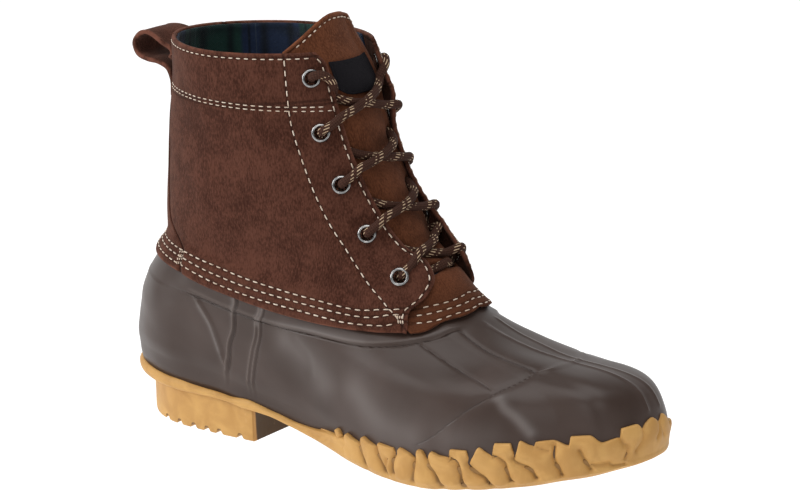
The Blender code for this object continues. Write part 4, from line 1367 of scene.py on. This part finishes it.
# %% Tongue
TONGUE_PEAK = 0.054
TONGUE_TOP_POWER = (1.55, 2.6)
TONGUE_LEAN = 7.0
TONGUE_LEAN_T = (0.94, 1.04)
TONGUE_SINK = 1.9
TONGUE_WALL = 1.8
TONGUE_COLUMNS = 120
TONGUE_ROWS_UP = 170
LACE_CLEAR = 0.3


def tongue_height(degrees, t):
    """Outer face of the tongue without the lace's dents."""
    away = np.abs(degrees - 180) / TONGUE_HALF_ANGLE
    lean = TONGUE_LEAN * smooth_step(*TONGUE_LEAN_T, t)
    middle = (1 - 0.5 * away ** 2) * smooth_step(30, 20, degrees - 180)
    sink = TONGUE_SINK * smooth_step(0.62, 0.70, t) * middle
    tuck = 2.0 * smooth_step(0, 3, flap_edge(t) - folded(degrees)) * smooth_step(0.49, 0.46, t)
    return tongue_inside(t) + SUEDE_WALL - lean - sink - tuck


def tongue_top(side):
    """Height t of the top edge across the tongue, from -1 at the outer side to 1: a lopsided peak."""
    return 1 + TONGUE_PEAK * (1 - np.abs(side) ** np.where(side < 0, *TONGUE_TOP_POWER))


def tongue_grid():
    """Angles and heights of the tongue's grid."""
    side = np.linspace(-1, 1, TONGUE_COLUMNS)[None]
    degrees = 180 + side * TONGUE_HALF_ANGLE
    bottom = line_height(SUEDE_EDGE, degrees)
    up = np.linspace(0, 1, TONGUE_ROWS_UP)[:, None]
    return np.broadcast_arrays(degrees, blend(bottom, tongue_top(side), up))


def lace_dent(points, outward):
    """How far each point gives way so that the lace lies on it."""
    dent = np.zeros(points.shape[:-1])
    lines = np.concatenate([line[::4] for line, _ in LACE_LINES])
    radius = LACE_RADIUS + LACE_CLEAR
    for some in np.array_split(np.arange(len(points)), 24):
        gap = points[some][:, :, None] - lines
        high = np.einsum("rckx,rcx->rck", gap, outward[some])
        flat = np.sqrt(np.maximum((gap ** 2).sum(-1) - high ** 2, 0))
        reach = np.sqrt(np.maximum(radius ** 2 - flat ** 2, 0))
        push = np.where((flat < radius) & (np.abs(high) < 6), high + reach, 0)
        soft = np.where(np.abs(high) < 5, 0.8 * bell(flat, 0.0, 5.0), 0)
        dent[some] = np.maximum(push, soft).max(-1).clip(0, 4.5)
    return dent


def tongue():
    """The tongue's outer face, dented by the lace and softly puffed between its crossings."""
    degrees, t = tongue_grid()
    outward = normal(degrees, t)
    plain = over(degrees, t, tongue_height(degrees, t))
    dent = lace_dent(plain, outward) * smooth_step(31, 26, degrees - 180)
    for _ in range(2):
        soft = np.pad(dent, 1, mode="edge")
        beside = (soft[:-2, 1:-1] + soft[2:, 1:-1] + soft[1:-1, :-2] + soft[1:-1, 2:]) / 4
        dent = np.maximum(dent, beside)
    up, collar, sides = edge_distances(plain)
    edge = np.minimum.reduce([up, collar, sides])
    puff = 0.5 * ripple(plain, 40, 21) * smooth_step(0.6, 0.7, t)
    press = dent + 0.4 * bell(edge, 0.0, 0.9) - puff
    fields = {"band": band_field(degrees, t), "collar": collar, "edge": edge}
    return plain - outward * press[..., None], fields


tongue_points, fields = tongue()
add_piece(
    "suede_tongue", tongue_points, tongue_suede, ["tongue"],
    wall=TONGUE_WALL, fields=fields)

# %% [markdown]
# ## Lining, footbed and label
# Inside, the shaft is lined with brushed flannel in a dark plaid of the traditional kind, and the
# rubber with the same cloth. The plaid follows the cloth, so it reads a UV map in centimetres. The
# woven label on the tongue is left plain.

# %% Flannel, felt and label finishes
PLAID_REPEAT = 4.0


def flannel_finish():
    """Green and navy plaid: two sets of bands, one each way, under a soft twill."""
    f = Finish(
        "flannel", Roughness=0.95, Specular_IOR_Level=0.1, Sheen_Weight=0.15, Sheen_Roughness=0.5)
    across, up = f.cloth()
    fuzz = f.noise(f.place(), 700.0, 4.0, 0.5)
    wander = across + (f.noise(f.place(), 90.0, 2.0) - 0.5) * 0.12
    field = (wander * 0.785 - 1.1).wave().step(-0.12, 0.12)
    colour = f.mix(field, (0.012, 0.042, 0.034), (0.014, 0.026, 0.062))
    band, level = wander.rest(PLAID_REPEAT), up.rest(PLAID_REPEAT)
    upright = band.near(0.7, 0.42).larger(band.near(2.9, 0.5)).larger(band.near(1.9, 0.16))
    colour = f.mix(upright * 0.8, colour, (0.004, 0.006, 0.009))
    flat = level.near(1.1, 0.6).larger(level.near(3.0, 0.25))
    colour = f.mix(flat * 0.5, colour, (0.006, 0.010, 0.014))
    pale = band.near(2.35, 0.07) * 0.3 + fuzz.step(0.6, 0.8) * 0.22
    colour = f.mix(pale, colour, (0.075, 0.10, 0.115))
    twill = ((across + up) * 62.0).wave()
    return f.done(colour, fuzz * 1.2 + twill * 0.25, 0.4)


def felt_finish():
    """Pressed grey felt with stray fibres."""
    f = Finish("felt", Roughness=0.95, Specular_IOR_Level=0.1, Sheen_Weight=0.4)
    fibres = f.noise(f.place((1.0, 0.3, 1.0)), 700.0, 5.0, 2.0)
    patches = f.noise(f.place(), 60.0, 3.0)
    colour = f.mix(fibres * 0.7 + patches * 0.3, (0.02, 0.022, 0.024), (0.085, 0.088, 0.09))
    return f.done(colour, fibres + patches * 0.5, 0.5)


def label_finish():
    """Black woven tape, with a ribbed selvedge along its edges."""
    f = Finish("woven_label", Roughness=0.85, Specular_IOR_Level=0.12)
    across, up = f.cloth()
    warp = (across * 150.0).wave() * (up * 150.0).wave()
    fuzz = f.noise(f.place(), 900.0, 3.0)
    border = f.field("edge").near(1.6, 0.55) * (across * 14.0).wave().step(-0.2, 0.3)
    colour = f.mix(warp * 0.25 + fuzz * 0.5, (0.006, 0.005, 0.007), (0.020, 0.018, 0.022))
    colour = f.mix(border * 0.8, colour, (0.004, 0.004, 0.006))
    return f.done(colour, warp * 0.5 + fuzz * 0.3 + border, 0.15)


flannel = flannel_finish()
felt = felt_finish()
woven_label = label_finish()

# %% Lining of shaft, foot and tongue
LINING_WALL = 0.9
LINING_TOP = 0.9965
LINING_IN = 0.25
LINING_DEPTH = 2.0
SHAFT_LINING = (80, 180)
FOOT_LINING = (44, 220)


def cloth_uv(points):
    """Flat cloth coordinates in centimetres: the distance round and the distance up."""
    around = np.broadcast_to(distances(points, 1)[len(points) // 2], points.shape[:2])
    return np.stack([around, distances(points, 0)], -1) / 10


def add_lining(name, points, ring=False):
    """A sheet of flannel that faces inwards."""
    points = points[:, ::-1]
    add_piece(name, points, flannel, ring=ring, wall=LINING_WALL, uv=cloth_uv(points))


degrees = np.linspace(-127, 127, SHAFT_LINING[1])[None]
t = np.linspace(0.40, LINING_TOP, SHAFT_LINING[0])[:, None] + 0 * degrees
rubber_top = line_height(SUEDE_EDGE, degrees) + LAP
inner = -0.8 - 3.3 * smooth_step(0.035, 0.005, t - rubber_top)
wool = 0.25 * ripple(last_point(degrees, t), 12, 31)
turned = 0.35 * smooth_step(0.985, LINING_TOP, t)
add_lining("lining_shaft", over(degrees, t, inner + wool - turned))
degrees = np.arange(FOOT_LINING[1])[None] * 360 / FOOT_LINING[1]
t = np.linspace(0.012, 1, FOOT_LINING[0])[:, None] * (line_height(SUEDE_EDGE, degrees) + RUBBER_LAP)
add_lining("lining_foot", over(degrees, t, -RUBBER_DEPTH - RUBBER_WALL - LINING_IN), ring=True)
inside = np.s_[int(0.16 * TONGUE_ROWS_UP):-1:2, 2:-2:2]
degrees, t = (values[inside] for values in tongue_grid())
add_lining("lining_tongue", tongue_points[inside] - LINING_DEPTH * normal(degrees, t))

# %% Footbed
INSOLE_IN = 3.8
INSOLE_COLUMNS = 260
INSOLE_STEPS = 14
HEEL_CUP = 1.6
# The rings round its edge: how far each is drawn in, and its height over the feather line.
INSOLE_RINGS = ((0.4, 0.1), (0.0, 1.2), (0.0, 2.6), (0.7, 3.6), (2.2, 4.0))


def footbed():
    """A pad with a rounded edge and a shallow cup for the heel."""
    degrees = np.arange(INSOLE_COLUMNS) * 360 / INSOLE_COLUMNS
    feather = last_point(degrees, 0.0)[:, 2]
    rings = np.stack([
        feather_outline(degrees, -INSOLE_IN - inset, feather + rise) for inset, rise in INSOLE_RINGS])
    bottom, top = rings[0], rings[-1]
    share = np.linspace(0, 1, INSOLE_STEPS)[:, None, None]
    lower = blend(bottom, centre_line(bottom), share[::-1])
    upper = blend(top, centre_line(top), share)
    cup = HEEL_CUP * smooth_step(0.1, 0.9, share[..., 0]) * smooth_step(110, 40, upper[..., 0])
    upper[..., 2] -= cup - 0.3 * ripple(upper, 30, 41) * share[..., 0]
    return np.concatenate([lower[:-1], rings, upper[1:]])


add_piece("felt_insole", footbed(), felt, ["insole"], ring=True, weld=True)

# %% Label
LABEL = ((160.0, 203.0), (0.935, 0.985))
LABEL_GRID = (34, 40)
LABEL_WALL = 0.7
LABEL_GAP = 0.15
LABEL_CORNER = 0.012


def label():
    """A patch on the tongue with rounded lower corners."""
    v = np.linspace(0, 1, LABEL_GRID[0])[:, None]
    u = np.linspace(-1, 1, LABEL_GRID[1])[None]
    (left, right), (low, high) = LABEL
    degrees = (left + right) / 2 + u * (right - left) / 2
    t = blend(low, high, v) + LABEL_CORNER * u ** 4 * (1 - v)
    points = over(degrees, t, tongue_height(degrees, t) + LABEL_WALL + LABEL_GAP)
    uv = np.stack([distances(points, 1), distances(points, 0)], -1) / 10
    return points, {"edge": np.minimum.reduce(edge_distances(points))}, uv


points, fields, uv = label()
add_piece("tongue_label", points, woven_label, wall=LABEL_WALL, fields=fields, uv=uv)

# %% [markdown]
# ## Pull loop
# A strip of the same suede is folded into a loop at the back of the collar. Its middle line is the
# one in the solids: a short table of distances behind the shaft and heights.

# %% Pull loop
LOOP_PATH = (
    (1.8, 192.0), (2.0, 198.5), (4.5, 203.0), (10, 205.0), (17.5, 205.6), (24.5, 203.9), (28.2, 198.9),
    (26, 193.6), (19, 191.0), (11.5, 190.2), (5.5, 187.4), (2.6, 182.0), (1.8, 173.0),
)
LOOP_STEP = 0.7
LOOP_COLUMNS = 34
LOOP_BESIDE = 26.0
LOOP_WIDTH = 23.0
LOOP_WALL = 2.2
LOOP_DROOP = 5.0


def pull_loop():
    """The strip's middle line swept across its width, bowed to the shaft at its ends."""
    path, _ = even_steps(curve_through(LOOP_PATH, 600), LOOP_STEP)
    across = np.linspace(-0.5, 0.5, LOOP_COLUMNS)[None] * LOOP_WIDTH
    behind, height = path[:, :1], path[:, 1:]
    levels = np.linspace(0.8, 1.0, 60)
    t = np.interp(height, last_point(0.0, levels)[:, 2], levels)
    edge = over(0.0, t, SUEDE_WALL)
    beside = over(LOOP_BESIDE, t, SUEDE_WALL)
    bow = (beside[..., 0] - edge[..., 0]) * (across / beside[..., 1]) ** 2
    flat = 1 - 0.75 * smooth_step(2, 14, behind)
    sway = 0.6 * np.sin(across / LOOP_WIDTH * 3.0) * smooth_step(3, 16, behind)
    droop = LOOP_DROOP * smooth_step(-0.5, 0.5, across / LOOP_WIDTH) * smooth_step(193, 201, height)
    droop = droop * smooth_step(22, 6, behind)
    x = edge[..., 0] + bow * flat - behind + sway
    points = np.stack(np.broadcast_arrays(x, -across, height - droop), -1)
    to_side = LOOP_WIDTH / 2 - np.abs(across) + 0 * height
    thin = LOOP_WALL * (1 - 0.25 * bell(to_side, 0.0, 1.0))
    out = unit(np.cross(np.gradient(points, axis=1), np.gradient(points, axis=0)))
    return points + out * thin[..., None] / 2, {"edge": to_side}


points, fields = pull_loop()
add_piece(
    "pull_strap", points, strap_suede, ["pull_loop"], wall=LOOP_WALL, fields=fields)

# %% [markdown]
# ## Eyelets
# An eyelet is a pressed ring: a barrel through the flap with its top rolled over. A turned profile
# is enough, wrapped round each hole's own axis.

# %% Eyelet finish and rings


def steel_finish():
    """Nickel-plated steel with fine handling marks."""
    f = Finish("plated_steel", Metallic=1.0)
    marks = f.noise(f.place(), 260.0, 3.0, 1.0)
    f.feed("Roughness", marks * 0.2 + 0.12)
    colour = f.mix(marks.step(0.35, 0.75), (0.20, 0.20, 0.20), (0.42, 0.41, 0.40))
    return f.done(colour, marks, 0.02)


plated_steel = steel_finish()
# The profile, from the barrel's foot up inside, over the roll and down outside: radius and height.
EYELET_PROFILE = (
    (3.2, -2.6), (3.15, -1.0), (3.17, 0.3), (3.3, 0.7), (3.65, 0.95), (4.1, 0.9), (4.5, 0.6),
    (4.75, 0.15), (4.65, 0.0), (3.6, -0.05), (3.5, -2.6),
)
EYELET_AROUND = 48
EYELET_LIFT = 0.1
profile = curve_through(EYELET_PROFILE + EYELET_PROFILE[:1], 45)[:0:-1]
turn = np.arange(EYELET_AROUND) * 2 * np.pi / EYELET_AROUND
for (number, side), (centre, axis) in EYELET_FRAMES.items():
    east = unit(np.cross((0.0, 0.0, 1.0), axis))
    north = np.cross(axis, east)
    ring = np.cos(turn)[:, None] * east + np.sin(turn)[:, None] * north
    points = centre + profile[:, None, :1] * ring[None] + (profile[:, None, 1:] + EYELET_LIFT) * axis
    place = f"{SIDES[side]}_{number + 1}"
    add_piece(
        f"eyelet_ring_{place}", points, plated_steel, [f"eyelet_{place}"],
        ring=True, loop=True)

# %% [markdown]
# ## Stitching
# Each stitch is a short thread lying on the suede with both ends pulled into their holes. A row is
# a line of places over the last, walked at the stitch's pitch; all stitches of a row are worked out
# at once, as one array of small closed tubes.

# %% Thread finish


def thread_finish():
    """Cream thread, twisted, a little soiled."""
    f = Finish("thread", Roughness=0.75, Sheen_Weight=0.2)
    soiled = f.noise(f.place(), 120.0, 3.0)
    twist = f.noise(f.place(), 2600.0, 2.0)
    colour = f.mix(soiled.step(0.35, 0.7), (0.58, 0.45, 0.34), (0.78, 0.66, 0.54))
    colour = f.mix(twist.step(0.5, 0.75) * 0.4, colour, (0.36, 0.25, 0.15))
    return f.done(colour, twist, 0.2)


thread = thread_finish()

# %% Stitches
STITCH_PITCH = 5.0
STITCH_SHARE = 0.74
STITCH_RADIUS = 0.34
# Height and roundness of a stitch along its length, from hole to hole.
STITCH_SINK = (-0.45, 0.08, 0.25, 0.28, 0.25, 0.08, -0.45)
STITCH_ROUND = (0.0, 0.85, 1.0, 1.0, 1.0, 0.85, 0.0)
STITCH_AROUND = 6
STITCH_FLAT = 0.8
TACK_SHARE = 0.85
STITCHES = []


def sew(degrees, t, height, pitch=STITCH_PITCH, share=STITCH_SHARE, radius=STITCH_RADIUS):
    """A row of stitches along places on the last, at a height over it."""
    gone = distances(last_point(degrees, t))
    starts = np.arange(0.3 * pitch, gone[-1] - pitch, pitch)
    at = starts[:, None] + np.linspace(0, share * pitch, len(STITCH_SINK))
    angle, level, high = (np.interp(at, gone, values) for values in (degrees, t, height))
    out = normal(angle, level)
    middle = over(angle, level, high + np.array(STITCH_SINK) * radius / STITCH_RADIUS)
    across = unit(np.cross(np.gradient(middle, axis=1), out))
    turn = np.arange(STITCH_AROUND)[:, None] * 2 * np.pi / STITCH_AROUND
    ring = np.cos(turn) * across[:, :, None] + STITCH_FLAT * np.sin(turn) * out[:, :, None]
    STITCHES.append(middle[:, :, None] + radius * np.reshape(STITCH_ROUND, (-1, 1, 1)) * ring)


def on_shaft(degrees, t):
    """Places for a row on the shaft, with the height of its trough."""
    return degrees, t, shaft_height(degrees, t) - 0.25


def on_tongue(degrees, t):
    """Places for a row on the tongue, with the height of its trough."""
    return degrees, t, tongue_height(degrees, t) - 0.2


def tack(places, side, pitch, radius=STITCH_RADIUS):
    """A few close stitches across a seam's end, along places on one side of the shaft."""
    degrees, t = even_steps(np.array(places) * (side, 1), 0.05)[0].T
    sew(*on_shaft(degrees, t), pitch, TACK_SHARE, radius)


print("one stitch has", len(STITCH_SINK) * STITCH_AROUND, "points")

# %% Stitch rows
FINE_STITCH = (4.2, 0.76, 0.28)
COLLAR_SEAM_START = 28.0
TONGUE_MM_PER_T = 336
COLLAR_POINTS = 900
around = np.linspace(-141, 141, 1100)
front = np.linspace(128, 232, 320)
for row in BAND_ROWS:
    level = band_level(around, row)
    here = np.abs(around) < flap_edge(level) - 1.4
    sew(*on_shaft(around[here], level[here]))
    level = band_level(front, row)
    here = folded(front) > flap_edge(level) + 1.2
    sew(*on_tongue(front[here], level[here]))
for row in COLLAR_ROWS:
    level = np.full(COLLAR_POINTS, 1 - row / mm_per_t(90.0, 0.95))
    reach = flap_edge(level[0]) - 2.6
    runs = [(COLLAR_SEAM_START, reach), (-COLLAR_SEAM_START, -reach)]
    if row == COLLAR_ROWS[0]:
        runs = [(-reach, reach)]
    for run in runs:
        sew(*on_shaft(np.linspace(*run, COLLAR_POINTS), level), *FINE_STITCH)
level = np.linspace(0.458, 0.998, 700)
edge = flap_edge(level) - FLAP_ROW / mm_per_degree(flap_edge(level), level)
for side in SIDES:
    sew(*on_shaft(side * table_at(EYESTAY, level), level))
    sew(*on_shaft(side * edge, level))
    for shift in (-0.7, 0.0, 0.7):
        tack([(51.6 + shift, 0.497 + 0.004 * shift), (50.6 + 1.4 * shift, 0.578)], side, 1.9)
        tack([(128.6 + shift, 0.452), (132.4 + shift, 0.482)], side, 2.3)
    tack([(97.4, 0.449), (98.8, 0.463)], side, 1.4, 0.55)
lean = np.linspace(-0.96, 0.96, 400)
sew(*on_tongue(180 + lean * TONGUE_HALF_ANGLE, tongue_top(lean) - TONGUE_ROW / TONGUE_MM_PER_T))
points = np.concatenate(STITCHES)
one = quads(len(STITCH_SINK), STITCH_AROUND, ring=True)[:, ::-1]
first = np.arange(len(points))[:, None, None] * len(STITCH_SINK) * STITCH_AROUND
add_piece("stitching", points, thread, faces=(one + first).reshape(-1, 4), weld=True)
print("stitches:", len(points))

# %% [markdown]
# ## Floor, light and camera
# The boot stands on a pale floor that rises into a backdrop. Large soft lights from above and from
# the left give the rubber its broad highlights, and the camera looks from in front of the outer side.

# %% Floor
FLOOR_AZIMUTH = 36
FLOOR_HALF_WIDTH = 6
FLOOR_DROP = 0.0003
# The floor's profile in metres: the way back from the boot, and the height.
FLOOR_RUN = ((-6.0, 0.0), (1.6, 0.0), (2.2, 0.06), (2.7, 0.3), (3.0, 0.8), (3.1, 1.6), (3.1, 4.0))
floor_finish = Finish(
    "floor", Base_Color=(0.55, 0.55, 0.55), Roughness=0.9,
    Emission_Color=(1.0, 1.0, 1.0), Emission_Strength=0.66)
sweep = curve_through(FLOOR_RUN, 60)[:, None]
azimuth = math.radians(FLOOR_AZIMUTH)
ahead = np.array([-math.sin(azimuth), math.cos(azimuth)])
aside = np.array([ahead[1], -ahead[0]])
columns = np.linspace(-FLOOR_HALF_WIDTH, FLOOR_HALF_WIDTH, 9)[None, :, None]
plan = sweep[..., :1] * ahead + columns * aside
height = np.broadcast_to(sweep[..., 1:], plan[..., :1].shape) - FLOOR_DROP
points = np.concatenate([plan, height], -1)
mesh = bpy.data.meshes.new("floor")
mesh.from_pydata(points.reshape(-1, 3).tolist(), [], quads(*points.shape[:2])[:, ::-1].tolist())
mesh.shade_smooth()
mesh.materials.append(floor_finish.material)
floor = bpy.data.objects.new("floor", mesh)
bpy.context.scene.collection.objects.link(floor)
print("floor: a sheet", FLOOR_RUN[-1][1], "m high at the back")

# %% Light
WORLD_STRENGTH = 0.24
# Each light: its place, the point that it faces, its width and height, and its power.
LIGHTS = {
    "top": ((0.1, -0.3, 1.9), (0.0, 0.0, 0.05), (1.4, 1.4), 17),
    "left": ((-1.25, -1.05, 0.66), (0.0, 0.0, 0.08), (0.35, 1.25), 8),
    "key": ((-1.1, -1.3, 1.25), (0.0, 0.0, 0.08), (0.6, 1.7), 13),
    "front": ((0.9, -1.5, 1.0), (0.05, 0.0, 0.06), (1.0, 0.8), 5.5),
}
scene = bpy.context.scene
scene.view_settings.view_transform = "Standard"
scene.world = bpy.data.worlds.new("studio")
scene.world.use_nodes = True
sky = scene.world.node_tree.nodes["Background"].inputs
sky["Color"].default_value = (1.0, 1.0, 1.0, 1.0)
sky["Strength"].default_value = WORLD_STRENGTH
for name, (place, target, size, power) in LIGHTS.items():
    lamp = bpy.data.lights.new(name, "AREA")
    lamp.shape = "RECTANGLE"
    lamp.size, lamp.size_y = size
    lamp.energy = power
    holder = bpy.data.objects.new(name, lamp)
    holder.location = place
    holder.rotation_euler = (Vector(target) - Vector(place)).to_track_quat("-Z", "Y").to_euler()
    scene.collection.objects.link(holder)
print("lights:", ", ".join(LIGHTS))

# %% Camera
AZIMUTH, ELEVATION, ROLL = 36.31, 15.17, 1.17
DISTANCE = 1.3
TARGET = (0.00836, -0.001, 0.10107)
SENSOR, LENS = 36.0, 115.2
SHIFT = (0.0025, 0.010)
camera_data = bpy.data.cameras.new("camera")
camera_data.sensor_width = SENSOR
camera_data.lens = LENS
camera_data.shift_x, camera_data.shift_y = SHIFT
camera = bpy.data.objects.new("camera", camera_data)
around, up = math.radians(AZIMUTH), math.radians(ELEVATION)
back = Vector((math.sin(around) * math.cos(up), -math.cos(around) * math.cos(up), math.sin(up)))
level = (-back).to_track_quat("-Z", "Y")
camera.location = Vector(TARGET) + back * DISTANCE
camera.rotation_euler = (level @ Quaternion((0.0, 0.0, 1.0), -math.radians(ROLL))).to_euler()
scene.collection.objects.link(camera)
scene.camera = camera
print("camera at", [round(c, 3) for c in camera.location])

# %% Sizes and the last line
print("quads in all:", sum(QUADS.values()), "in", len(QUADS), "pieces")
